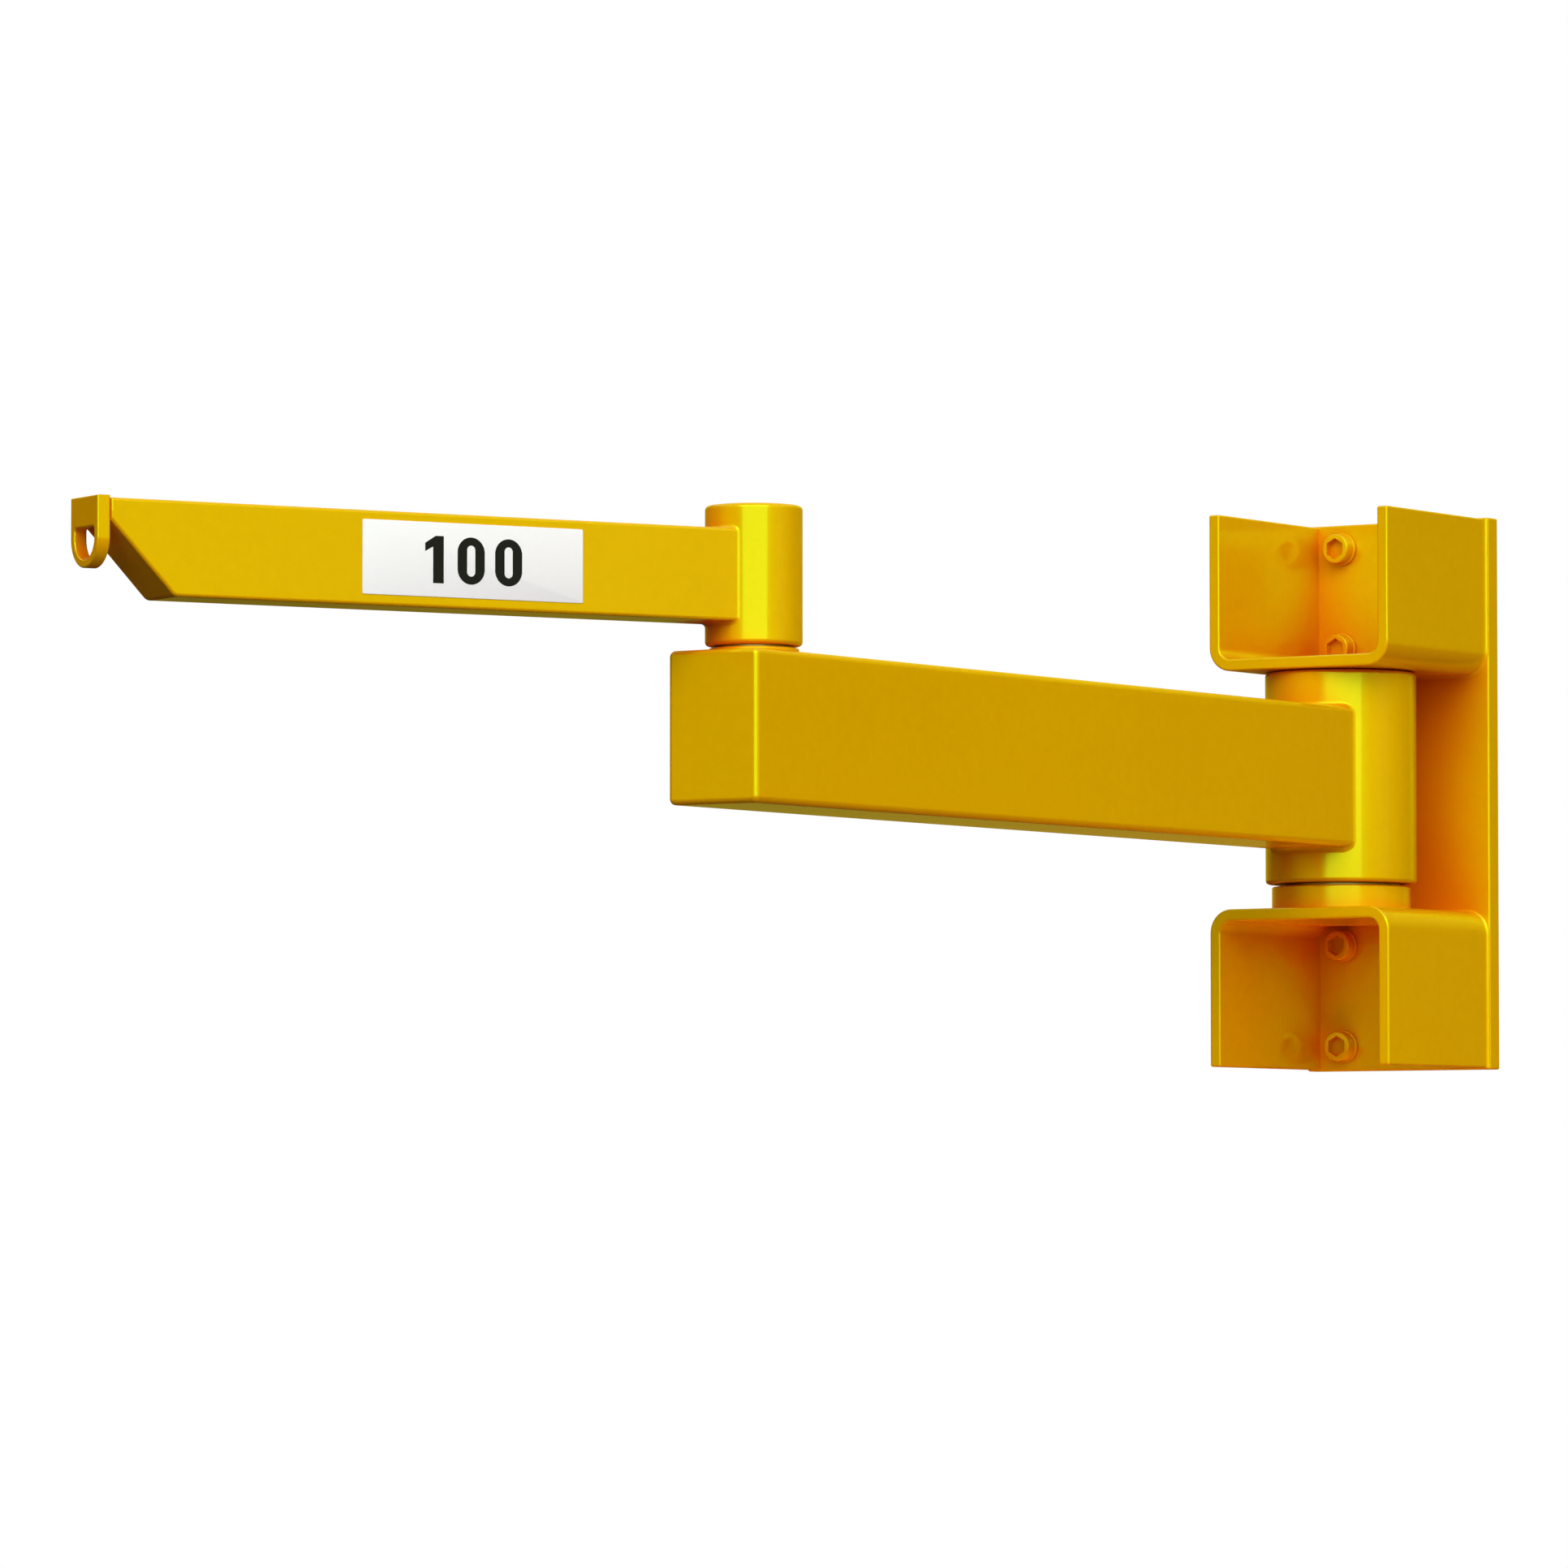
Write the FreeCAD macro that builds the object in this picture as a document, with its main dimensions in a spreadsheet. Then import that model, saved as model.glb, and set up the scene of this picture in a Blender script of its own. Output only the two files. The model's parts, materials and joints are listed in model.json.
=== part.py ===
# Articulated jib crane for a wall.
#
# A bracket of two folded channels on a back plate holds an upright king pin. A hollow lower arm
# slews on that pin. At its outer end a second pin carries a shorter upper arm, whose sloped tip
# ends in a plate with a D-shaped lifting eye.
#
# The origin is the centre of the back plate's rear face. +X runs along the wall, the wall's open
# side is -Y, and +Z is up. The lower arm points straight out and the upper arm is turned aside.
import FreeCAD, Part
import math
import os
import re
import Sketcher
from FreeCAD import Placement, Rotation, Vector

OUTPUT_FOLDER = "parts"

# Two lengths within this many millimetres count as the same
TOLERANCE = 0.001

# Places at which an edge is tested, from its start to its end
EDGE_SAMPLES = 7

# Driving dimensions, in millimetres and degrees
SIZES = {
    # Back plate and its fixing holes
    "plate_side_margin": 3.5,
    "plate_end_margin": 1.5,
    "plate_thickness": 18,
    "plate_edge_radius": 2,
    "hole_diameter": 22,
    "hole_from_flange": 28,
    "hole_from_end": 25,
    "hole_from_web": 20,
    # Folded channels, one above the hub and one below
    "channel_width": 208,
    "channel_wall": 12,
    "channel_bend_radius": 12,
    "channel_flange": 158.5,
    "channel_nose": 84,
    "web_spacing": 240,
    "channel_edge_radius": 2,
    "channel_weld_leg": 3,
    # Hub, with its king pin and bearings
    "hub_from_plate": 113,
    "king_pin_diameter": 60,
    "spacer_ring_diameter": 139.7,
    "spacer_ring_height": 23,
    "spacer_edge_radius": 2,
    "hub_washer_diameter": 120,
    "hub_washer_thickness": 2.5,
    "hub_tube_diameter": 152.4,
    "hub_tube_wall": 12,
    "hub_top_gap": 1.1,
    "hub_rim_radius": 4,
    "hub_ring_thickness": 25,
    "hub_bush_wall": 8,
    "hub_weld_leg": 6,
    # Lower arm
    "lower_beam_width": 98,
    "lower_beam_height": 140,
    "lower_beam_wall": 6,
    "lower_beam_corner": 6,
    "lower_beam_drop": 59.5,
    "lower_beam_overrun": 66,
    "end_cap_thickness": 6,
    "end_cap_edge_radius": 5,
    "elbow_reach": 1045,
    # Elbow, with its pin and bearings
    "collar_diameter": 82.5,
    "collar_height": 3.7,
    "collar_edge_radius": 1.5,
    "elbow_washer_diameter": 72,
    "elbow_washer_thickness": 1.7,
    "elbow_pin_diameter": 50,
    "elbow_pin_headroom": 5,
    "elbow_tube_diameter": 88.9,
    "elbow_tube_wall": 8,
    "elbow_tube_height": 127.8,
    "elbow_rim_radius": 4,
    "elbow_bush_length": 35,
    "elbow_cap_thickness": 6,
    "elbow_weld_leg": 4,
    # Upper arm
    "upper_arm_angle": 24.7,
    "upper_beam_width": 58,
    "upper_beam_height": 84,
    "upper_beam_wall": 5,
    "upper_beam_corner": 3,
    "upper_beam_lift": 20.5,
    "eye_reach": 676.3,
    "slope_run": 61.5,
    "slope_rise": 64,
    "slope_plate_thickness": 6,
    "slope_bend_radius": 8,
    "upper_beam_end_radius": 1.5,
    # Eye plate
    "eye_plate_width": 53,
    "eye_plate_thickness": 12.5,
    "eye_plate_rise": 2,
    "eye_plate_drop": 35.7,
    "eye_width": 38.5,
    "eye_head": 9,
    "eye_corner_radius": 3,
    "eye_plate_edge_radius": 1.5,
    # Clearances
    "seat_clearance": 0.05,
    "running_clearance": 0.05,
    "thrust_clearance": 0.3,
}

# Heights and places that follow from the driving dimensions
HUB_FROM_WALL = "(plate_thickness + hub_from_plate)"
ELBOW_FROM_WALL = f"({HUB_FROM_WALL} + elbow_reach)"
WEB_FACE = "(web_spacing / 2)"
FLANGE_TOP = f"({WEB_FACE} + channel_flange)"
WEB_FLOOR = f"({WEB_FACE} + channel_wall)"
FLANGE_INSIDE = "(channel_width / 2 - channel_wall)"
CHANNEL_LENGTH = "(hub_from_plate + channel_nose)"
PLATE_WIDTH = "(channel_width + 2 * plate_side_margin)"
PLATE_END = f"({FLANGE_TOP} + plate_end_margin)"
HOLE_ACROSS = f"({FLANGE_INSIDE} - hole_from_flange)"
OUTER_HOLE_LEVEL = f"({PLATE_END} - hole_from_end)"
INNER_HOLE_LEVEL = f"({WEB_FLOOR} + hole_from_web)"
SPACER_BOTTOM = f"(-{WEB_FACE})"
HUB_WASHER_BOTTOM = f"({SPACER_BOTTOM} + spacer_ring_height)"
HUB_BOTTOM = f"({HUB_WASHER_BOTTOM} + hub_washer_thickness + thrust_clearance)"
HUB_TOP = f"({WEB_FACE} - hub_top_gap)"
HUB_HEIGHT = f"({HUB_TOP} - {HUB_BOTTOM})"
HUB_BORE = "(hub_tube_diameter - 2 * hub_tube_wall)"
HUB_BUSH_BORE = "(king_pin_diameter + 2 * running_clearance)"
HUB_BUSH_DIAMETER = f"({HUB_BUSH_BORE} + 2 * hub_bush_wall)"
LOWER_BEAM_BOTTOM = "(-lower_beam_drop)"
LOWER_BEAM_TOP = f"({LOWER_BEAM_BOTTOM} + lower_beam_height)"
LOWER_BEAM_END = "(elbow_reach + lower_beam_overrun)"
COLLAR_TOP = f"({LOWER_BEAM_TOP} + collar_height)"
ELBOW_TUBE_BOTTOM = f"({COLLAR_TOP} + elbow_washer_thickness + thrust_clearance)"
ELBOW_TUBE_TOP = f"({ELBOW_TUBE_BOTTOM} + elbow_tube_height)"
ELBOW_TUBE_BORE = "(elbow_tube_diameter - 2 * elbow_tube_wall)"
ELBOW_CAP_BOTTOM = f"({ELBOW_TUBE_TOP} - elbow_cap_thickness)"
ELBOW_PIN_TOP = f"({ELBOW_CAP_BOTTOM} - elbow_pin_headroom)"
UPPER_BEAM_BOTTOM = f"({ELBOW_TUBE_BOTTOM} + upper_beam_lift)"
UPPER_BEAM_TOP = f"({UPPER_BEAM_BOTTOM} + upper_beam_height)"
UPPER_BEAM_END = "(eye_reach - eye_plate_thickness)"
SLOPE_START = f"({UPPER_BEAM_END} - slope_run)"
SLOPE_TOP = f"({UPPER_BEAM_BOTTOM} + slope_rise)"
SLOPE_LENGTH = "sqrt(slope_run ^ 2 + slope_rise ^ 2)"
SLOPE_SET_BACK = f"(slope_plate_thickness * {SLOPE_LENGTH} / slope_rise)"
SLOPE_SET_UP = f"(slope_plate_thickness * {SLOPE_LENGTH} / slope_run)"
EYE_PLATE_TOP = f"({UPPER_BEAM_TOP} + eye_plate_rise)"
EYE_CENTRE = f"({EYE_PLATE_TOP} - eye_plate_drop)"

doc = FreeCAD.newDocument("JibCrane")
sheet = doc.addObject("Spreadsheet::Sheet", "Sizes")
pieces = []


def fill_sheet():
    """Write every driving dimension into the sheet under its own name."""
    for row, (name, value) in enumerate(SIZES.items(), 1):
        sheet.set(f"A{row}", name)
        sheet.set(f"B{row}", str(value))
        sheet.setAlias(f"B{row}", name)
    doc.recompute()


def bound(size):
    """Turn the names of sizes into references to the sheet."""
    return re.sub(r"[a-z]\w*", lambda word: f"Sizes.{word[0]}" if word[0] in SIZES else word[0], size)


def present(size):
    """Give the present value of an expression of sizes."""
    return float(sheet.evalExpression(bound(size)))


def new_piece(name, frame):
    """Start a body for one piece, in the frame of the part that carries it."""
    body = doc.addObject("PartDesign::Body", name)
    frame(body)
    pieces.append(body)
    return body


def at_wall(piece):
    """The frame of the bracket, whose origin is the back plate's rear face."""
    piece.Placement = Placement()


def at_wall_inverted(piece):
    """The bracket's frame turned upside down."""
    piece.Placement = Placement(Vector(), Rotation(Vector(0, 1, 0), 180))


def at_hub(piece):
    """The frame of the hub, on its axis at the height of the plate's centre."""
    piece.setExpression("Placement.Base.y", bound(f"-{HUB_FROM_WALL}"))


def at_elbow(piece):
    """The frame of the elbow's axis, square to the lower arm."""
    piece.setExpression("Placement.Base.y", bound(f"-{ELBOW_FROM_WALL}"))


def at_upper_arm(piece):
    """The elbow's frame, turned with the upper arm."""
    piece.Placement = Placement(Vector(), Rotation(Vector(0, 0, -1), 1))
    piece.setExpression("Placement.Base.y", bound(f"-{ELBOW_FROM_WALL}"))
    piece.setExpression("Placement.Rotation.Angle", bound("upper_arm_angle"))


def new_sketch(body, plane, offset="0"):
    """Attach a sketch to one of the body's own planes, offset along the plane's normal."""
    sketch = body.newObject("Sketcher::SketchObject", f"{body.Name}_sketch")
    support = next(item for item in body.Origin.OriginFeatures if item.Role == plane)
    sketch.AttachmentSupport = [(support, "")]
    sketch.MapMode = "FlatFace"
    sketch.setExpression("AttachmentOffset.Base.z", bound(offset))
    return sketch


def dimension(sketch, kind, *where, size):
    """Add a dimension to the sketch and bind it to its size."""
    number = sketch.addConstraint(Sketcher.Constraint(kind, *where, present(size)))
    sketch.setExpression(f"Constraints[{number}]", bound(size))


def locate(sketch, element, point, across, along):
    """Fix a point of the sketch by its two distances from the sketch's origin."""
    dimension(sketch, "DistanceX", -1, 1, element, point, size=across)
    dimension(sketch, "DistanceY", -1, 1, element, point, size=along)


def draw_polygon(sketch, corners):
    """Draw a closed outline through corners, each given as a pair of sizes."""
    points = [Vector(present(across), present(along), 0) for across, along in corners]
    first = sketch.GeometryCount
    for number, point in enumerate(points):
        after = points[(number + 1) % len(points)]
        sketch.addGeometry(Part.LineSegment(point, after), False)
    for number, (across, along) in enumerate(corners):
        line = first + number
        after = first + (number + 1) % len(corners)
        sketch.addConstraint(Sketcher.Constraint("Coincident", line, 2, after, 1))
        locate(sketch, line, 1, across, along)


def draw_rectangle(sketch, width, bottom, top):
    """Draw a rectangle that is centred across the sketch."""
    half = f"({width}) / 2"
    draw_polygon(sketch, [(f"-{half}", bottom), (half, bottom), (half, top), (f"-{half}", top)])


def draw_circle(sketch, diameter, across="0", along="0"):
    """Draw a circle at a point given by two sizes."""
    centre = Vector(present(across), present(along), 0)
    circle = Part.Circle(centre, Vector(0, 0, 1), present(diameter) / 2)
    number = sketch.addGeometry(circle, False)
    locate(sketch, number, 3, across, along)
    dimension(sketch, "Diameter", number, size=diameter)


def draw_u_outline(sketch, width, top, centre):
    """Draw a flat-topped outline whose lower end is a half circle about the centre height."""
    half = present(width) / 2
    high = present(top)
    middle = present(centre)
    head = sketch.addGeometry(Part.LineSegment(Vector(half, high, 0), Vector(-half, high, 0)), False)
    left = sketch.addGeometry(Part.LineSegment(Vector(-half, high, 0), Vector(-half, middle, 0)), False)
    circle = Part.Circle(Vector(0, middle, 0), Vector(0, 0, 1), half)
    arc = sketch.addGeometry(Part.ArcOfCircle(circle, math.pi, 2 * math.pi), False)
    right = sketch.addGeometry(Part.LineSegment(Vector(half, middle, 0), Vector(half, high, 0)), False)
    sketch.addConstraint(Sketcher.Constraint("Coincident", head, 2, left, 1))
    sketch.addConstraint(Sketcher.Constraint("Coincident", right, 2, head, 1))
    sketch.addConstraint(Sketcher.Constraint("Tangent", left, 2, arc, 1))
    sketch.addConstraint(Sketcher.Constraint("Tangent", arc, 2, right, 1))
    sketch.addConstraint(Sketcher.Constraint("Vertical", left))
    sketch.addConstraint(Sketcher.Constraint("Vertical", right))
    locate(sketch, head, 1, f"({width}) / 2", top)
    locate(sketch, head, 2, f"-({width}) / 2", top)
    dimension(sketch, "DistanceY", -1, 1, arc, 3, size=centre)


def pad(body, sketch, length, centred=False):
    """Extrude a sketch along its normal, or half to each side of it."""
    feature = body.newObject("PartDesign::Pad", f"{body.Name}_pad")
    feature.Profile = sketch
    feature.Midplane = centred
    feature.setExpression("Length", bound(length))
    doc.recompute()
    return feature


def pocket(body, sketch, reverse=False, centred=False):
    """Cut a sketch right through the body, on one side of its plane or on both."""
    before = body.Shape.Volume
    feature = body.newObject("PartDesign::Pocket", f"{body.Name}_pocket")
    feature.Profile = sketch
    feature.Type = "ThroughAll"
    feature.Reversed = reverse
    feature.Midplane = centred
    doc.recompute()
    if body.Shape.Volume >= before:
        raise RuntimeError(f"the pocket of {body.Name} cuts nothing")
    return feature


def round_edges(body, radius, chosen):
    """Round the edges of the body's latest feature whose sample points are all chosen."""
    base = body.Tip
    feature = body.newObject("PartDesign::Fillet", f"{body.Name}_fillet")
    feature.Base = (base, edge_names(base.Shape, chosen))
    feature.setExpression("Radius", bound(radius))
    doc.recompute()
    return feature


def edge_names(shape, chosen):
    """Name the edges of a shape whose sample points are all chosen."""
    return [
        f"Edge{number}"
        for number, edge in enumerate(shape.Edges, 1)
        if all(chosen(point) for point in edge.discretize(EDGE_SAMPLES))
    ]


def near(value, target):
    """Tell whether two lengths are the same."""
    return abs(value - target) < TOLERANCE


def make_disc(name, frame, diameter, bottom, height):
    """A solid round piece on the frame's upright axis."""
    body = new_piece(name, frame)
    sketch = new_sketch(body, "XY_Plane", bottom)
    draw_circle(sketch, diameter)
    pad(body, sketch, height)
    return body


def make_ring(name, frame, diameter, bore, bottom, height):
    """A round piece with a bore, on the frame's upright axis."""
    body = new_piece(name, frame)
    sketch = new_sketch(body, "XY_Plane", bottom)
    draw_circle(sketch, diameter)
    draw_circle(sketch, bore)
    pad(body, sketch, height)
    return body


def round_rim(body, diameter, radius, heights):
    """Round the outer edge of a tube at the given heights."""
    outer = present(diameter) / 2
    levels = [present(height) for height in heights]

    def on_rim(point):
        return near(Vector(point.x, point.y, 0).Length, outer) and any(near(point.z, z) for z in levels)

    round_edges(body, radius, on_rim)


# Wall bracket


def make_back_plate():
    """The plate against the wall, with its corners eased and eight holes for the fixing screws."""
    body = new_piece("back_plate", at_wall)
    sketch = new_sketch(body, "XZ_Plane")
    draw_rectangle(sketch, PLATE_WIDTH, f"-{PLATE_END}", PLATE_END)
    pad(body, sketch, "plate_thickness")
    front = -present("plate_thickness")
    half_width = present(PLATE_WIDTH) / 2
    half_height = present(PLATE_END)

    def eased(point):
        on_front = near(point.y, front)
        on_corner = near(abs(point.x), half_width) and near(abs(point.z), half_height)
        return on_front or on_corner

    round_edges(body, "plate_edge_radius", eased)
    holes = new_sketch(body, "XZ_Plane")
    for level in (OUTER_HOLE_LEVEL, INNER_HOLE_LEVEL):
        for side in ("-", ""):
            for end in ("-", ""):
                draw_circle(holes, "hole_diameter", f"{side}{HOLE_ACROSS}", f"{end}{level}")
    pocket(body, holes, reverse=True)


def make_channel(name, frame):
    """A plate folded into a U, its web towards the hub and its flanges pointing away from it."""
    body = new_piece(name, frame)
    sketch = new_sketch(body, "XZ_Plane", "plate_thickness")
    outer = "channel_width / 2"
    draw_polygon(
        sketch,
        [
            (f"-{outer}", WEB_FACE),
            (outer, WEB_FACE),
            (outer, FLANGE_TOP),
            (FLANGE_INSIDE, FLANGE_TOP),
            (FLANGE_INSIDE, WEB_FLOOR),
            (f"-{FLANGE_INSIDE}", WEB_FLOOR),
            (f"-{FLANGE_INSIDE}", FLANGE_TOP),
            (f"-{outer}", FLANGE_TOP),
        ],
    )
    pad(body, sketch, CHANNEL_LENGTH)
    half_width = present(outer)
    half_inside = present(FLANGE_INSIDE)
    web_face = present(WEB_FACE)
    web_floor = present(WEB_FLOOR)
    round_edges(
        body,
        "channel_bend_radius + channel_wall",
        lambda point: near(abs(point.x), half_width) and near(point.z, web_face),
    )
    round_edges(
        body,
        "channel_bend_radius",
        lambda point: near(abs(point.x), half_inside) and near(point.z, web_floor),
    )
    hole = new_sketch(body, "XY_Plane")
    draw_circle(hole, "king_pin_diameter + 2 * seat_clearance", along=f"-{HUB_FROM_WALL}")
    pocket(body, hole, reverse=True)
    nose = -present(f"plate_thickness + {CHANNEL_LENGTH}")
    tip = present(FLANGE_TOP)

    def exposed(point):
        along_tip = near(point.z, tip) and (near(abs(point.x), half_width) or near(abs(point.x), half_inside))
        return near(point.y, nose) or along_tip

    round_edges(body, "channel_edge_radius", exposed)


def make_channel_weld(name, frame):
    """The bead where the outside of a channel meets the back plate."""
    slab = doc.addObject("Part::Box", f"{name}_slab")
    slab.setExpression("Length", bound(PLATE_WIDTH))
    slab.setExpression("Width", bound("plate_thickness"))
    slab.setExpression("Height", bound(FLANGE_TOP))
    slab.setExpression("Placement.Base.x", bound(f"-{PLATE_WIDTH} / 2"))
    slab.setExpression("Placement.Base.y", bound("-plate_thickness"))
    block = doc.addObject("Part::Box", f"{name}_block")
    block.setExpression("Length", bound("channel_width"))
    block.setExpression("Width", bound(CHANNEL_LENGTH))
    block.setExpression("Height", bound("channel_flange"))
    block.setExpression("Placement.Base.x", bound("-channel_width / 2"))
    block.setExpression("Placement.Base.y", bound(f"-{HUB_FROM_WALL} - channel_nose"))
    block.setExpression("Placement.Base.z", bound(WEB_FACE))
    doc.recompute()
    half_width = present("channel_width / 2")
    web_face = present(WEB_FACE)
    folded = fillet_edges(
        block,
        "channel_bend_radius + channel_wall",
        lambda point: near(abs(point.x), half_width) and near(point.z, web_face),
    )
    front = -present("plate_thickness")

    def at_foot(point):
        inside = abs(point.x) < half_width + TOLERANCE and point.z > web_face - TOLERANCE
        return near(point.y, front) and inside and point.z < present(FLANGE_TOP)

    make_bead(name, frame, folded, slab, "channel_weld_leg", at_foot)


def fillet_edges(base, radius, chosen):
    """Round the chosen edges of a solid that isn't part of a body."""
    feature = doc.addObject("Part::Fillet", f"{base.Name}_fillet")
    feature.Base = base
    size = present(radius)
    numbers = [int(name[4:]) for name in edge_names(base.Shape, chosen)]
    feature.Edges = [(number, size, size) for number in numbers]
    doc.recompute()
    return feature


def make_bead(name, frame, first, second, leg, chosen):
    """A fillet weld: what rounding the joint of two solids adds to them."""
    joined = doc.addObject("Part::Fuse", f"{name}_joined")
    joined.Base = first
    joined.Tool = second
    doc.recompute()
    rounded = fillet_edges(joined, leg, chosen)
    bead = doc.addObject("Part::Cut", name)
    bead.Base = rounded
    bead.Tool = joined
    frame(bead)
    doc.recompute()
    pieces.append(bead)


def make_bracket():
    """The back plate, both channels with their welds, and the pin and rings between the webs."""
    make_back_plate()
    make_channel("upper_channel", at_wall)
    make_channel("lower_channel", at_wall_inverted)
    make_channel_weld("upper_channel_weld", at_wall)
    make_channel_weld("lower_channel_weld", at_wall_inverted)
    pin_bore = "king_pin_diameter + 2 * seat_clearance"
    make_disc("king_pin", at_hub, "king_pin_diameter", f"-{WEB_FACE} - channel_wall",
              "web_spacing + 2 * channel_wall")
    ring = make_ring("spacer_ring", at_hub, "spacer_ring_diameter", pin_bore, SPACER_BOTTOM,
                     "spacer_ring_height")
    round_rim(ring, "spacer_ring_diameter", "spacer_edge_radius", [HUB_WASHER_BOTTOM])
    make_ring("hub_thrust_washer", at_hub, "hub_washer_diameter", pin_bore, HUB_WASHER_BOTTOM,
              "hub_washer_thickness")


# Beams


def make_hollow_beam(body, width, wall, corner, bottom, top, length):
    """A rectangular tube along -Y from the body's upright axis, with rounded long edges."""
    sketch = new_sketch(body, "XZ_Plane")
    draw_rectangle(sketch, width, bottom, top)
    draw_rectangle(sketch, f"{width} - 2 * {wall}", f"{bottom} + {wall}", f"{top} - {wall}")
    pad(body, sketch, length)
    half_width = present(width) / 2
    levels = [present(bottom), present(top)]
    round_edges(
        body,
        corner,
        lambda point: near(abs(point.x), half_width) and any(near(point.z, z) for z in levels),
    )


def cope(body, diameter):
    """Hollow out the beam's inner end so that it sits against an upright tube."""
    sketch = new_sketch(body, "XY_Plane")
    draw_circle(sketch, diameter)
    pocket(body, sketch, centred=True)


def make_beam_weld(name, frame, tube, tube_bottom, tube_top, width, corner, bottom, top, leg):
    """The bead around a beam where its coped end meets the upright tube."""
    post = doc.addObject("Part::Cylinder", f"{name}_post")
    post.setExpression("Radius", bound(f"{tube} / 2"))
    post.setExpression("Height", bound(f"{tube_top} - {tube_bottom}"))
    post.setExpression("Placement.Base.z", bound(tube_bottom))
    stub = doc.addObject("Part::Box", f"{name}_stub")
    stub.setExpression("Length", bound(width))
    stub.setExpression("Width", bound(tube))
    stub.setExpression("Height", bound(f"{top} - {bottom}"))
    stub.setExpression("Placement.Base.x", bound(f"-{width} / 2"))
    stub.setExpression("Placement.Base.y", bound(f"-{tube}"))
    stub.setExpression("Placement.Base.z", bound(bottom))
    doc.recompute()
    half_width = present(width) / 2
    low = present(bottom)
    high = present(top)
    radius = present(tube) / 2
    rounded = fillet_edges(
        stub,
        corner,
        lambda point: near(abs(point.x), half_width) and (near(point.z, low) or near(point.z, high)),
    )

    def on_joint(point):
        on_tube = near(Vector(point.x, point.y, 0).Length, radius)
        return on_tube and point.y < 0 and low - TOLERANCE < point.z < high + TOLERANCE

    make_bead(name, frame, post, rounded, leg, on_joint)


# Lower arm


def make_lower_arm():
    """The hub tube with its bearings, the hollow beam and its end cap, and the elbow's fixed parts."""
    hub = make_ring("hub_tube", at_hub, "hub_tube_diameter", HUB_BORE, HUB_BOTTOM, HUB_HEIGHT)
    round_rim(hub, "hub_tube_diameter", "hub_rim_radius", [HUB_BOTTOM, HUB_TOP])
    upper_ring_bottom = f"{HUB_TOP} - hub_ring_thickness"
    for name, bottom in (("hub_bottom_ring", HUB_BOTTOM), ("hub_top_ring", upper_ring_bottom)):
        make_ring(name, at_hub, f"{HUB_BORE} - 2 * seat_clearance", f"{HUB_BUSH_DIAMETER} + 2 * seat_clearance",
                  bottom, "hub_ring_thickness")
    for name, bottom in (("hub_lower_bush", HUB_BOTTOM), ("hub_upper_bush", upper_ring_bottom)):
        make_ring(name, at_hub, HUB_BUSH_DIAMETER, HUB_BUSH_BORE, bottom, "hub_ring_thickness")

    beam = new_piece("lower_beam", at_hub)
    make_hollow_beam(beam, "lower_beam_width", "lower_beam_wall", "lower_beam_corner", LOWER_BEAM_BOTTOM,
                     LOWER_BEAM_TOP, f"{LOWER_BEAM_END} - end_cap_thickness")
    cope(beam, "hub_tube_diameter")
    pin_hole = new_sketch(beam, "XY_Plane")
    draw_circle(pin_hole, "elbow_pin_diameter + 2 * seat_clearance", along="-elbow_reach")
    pocket(beam, pin_hole, reverse=True)
    make_beam_weld("hub_weld", at_hub, "hub_tube_diameter", HUB_BOTTOM, HUB_TOP, "lower_beam_width",
                   "lower_beam_corner", LOWER_BEAM_BOTTOM, LOWER_BEAM_TOP, "hub_weld_leg")

    cap = new_piece("beam_end_cap", at_hub)
    cap_sketch = new_sketch(cap, "XZ_Plane", f"{LOWER_BEAM_END} - end_cap_thickness")
    draw_rectangle(cap_sketch, "lower_beam_width", LOWER_BEAM_BOTTOM, LOWER_BEAM_TOP)
    pad(cap, cap_sketch, "end_cap_thickness")
    half_width = present("lower_beam_width / 2")
    levels = [present(LOWER_BEAM_BOTTOM), present(LOWER_BEAM_TOP)]
    beam_end = -present(LOWER_BEAM_END)
    round_edges(
        cap,
        "lower_beam_corner",
        lambda point: near(abs(point.x), half_width) and any(near(point.z, z) for z in levels),
    )
    round_edges(cap, "end_cap_edge_radius", lambda point: near(point.y, beam_end))

    pin_foot = f"({LOWER_BEAM_BOTTOM} + lower_beam_wall)"
    pin_bore = "elbow_pin_diameter + 2 * seat_clearance"
    make_disc("elbow_pin", at_elbow, "elbow_pin_diameter", pin_foot, f"{ELBOW_PIN_TOP} - {pin_foot}")
    collar = make_ring("elbow_collar", at_elbow, "collar_diameter", pin_bore, LOWER_BEAM_TOP, "collar_height")
    round_rim(collar, "collar_diameter", "collar_edge_radius", [COLLAR_TOP])
    make_ring("elbow_thrust_washer", at_elbow, "elbow_washer_diameter", pin_bore, COLLAR_TOP,
              "elbow_washer_thickness")


# Upper arm


def make_slope_plate():
    """The plate that closes the beam's slanted underside at its outer end."""
    body = new_piece("slope_plate", at_upper_arm)
    sketch = new_sketch(body, "YZ_Plane")
    draw_polygon(
        sketch,
        [
            (f"-{SLOPE_START}", UPPER_BEAM_BOTTOM),
            (f"-{UPPER_BEAM_END}", SLOPE_TOP),
            (f"-{UPPER_BEAM_END}", f"{SLOPE_TOP} + {SLOPE_SET_UP}"),
            (f"-{SLOPE_START} + {SLOPE_SET_BACK}", UPPER_BEAM_BOTTOM),
        ],
    )
    pad(body, sketch, "upper_beam_width", centred=True)
    start = -present(SLOPE_START)
    low = present(UPPER_BEAM_BOTTOM)
    steepness = present("slope_rise / slope_run")
    half_width = present("upper_beam_width") / 2
    round_edges(body, "slope_bend_radius", lambda point: near(point.y, start) and near(point.z, low))

    def outer_side(point):
        on_slope = near(point.z - low, (start - point.y) * steepness)
        return near(abs(point.x), half_width) and on_slope

    round_edges(body, "upper_beam_corner", outer_side)


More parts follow.
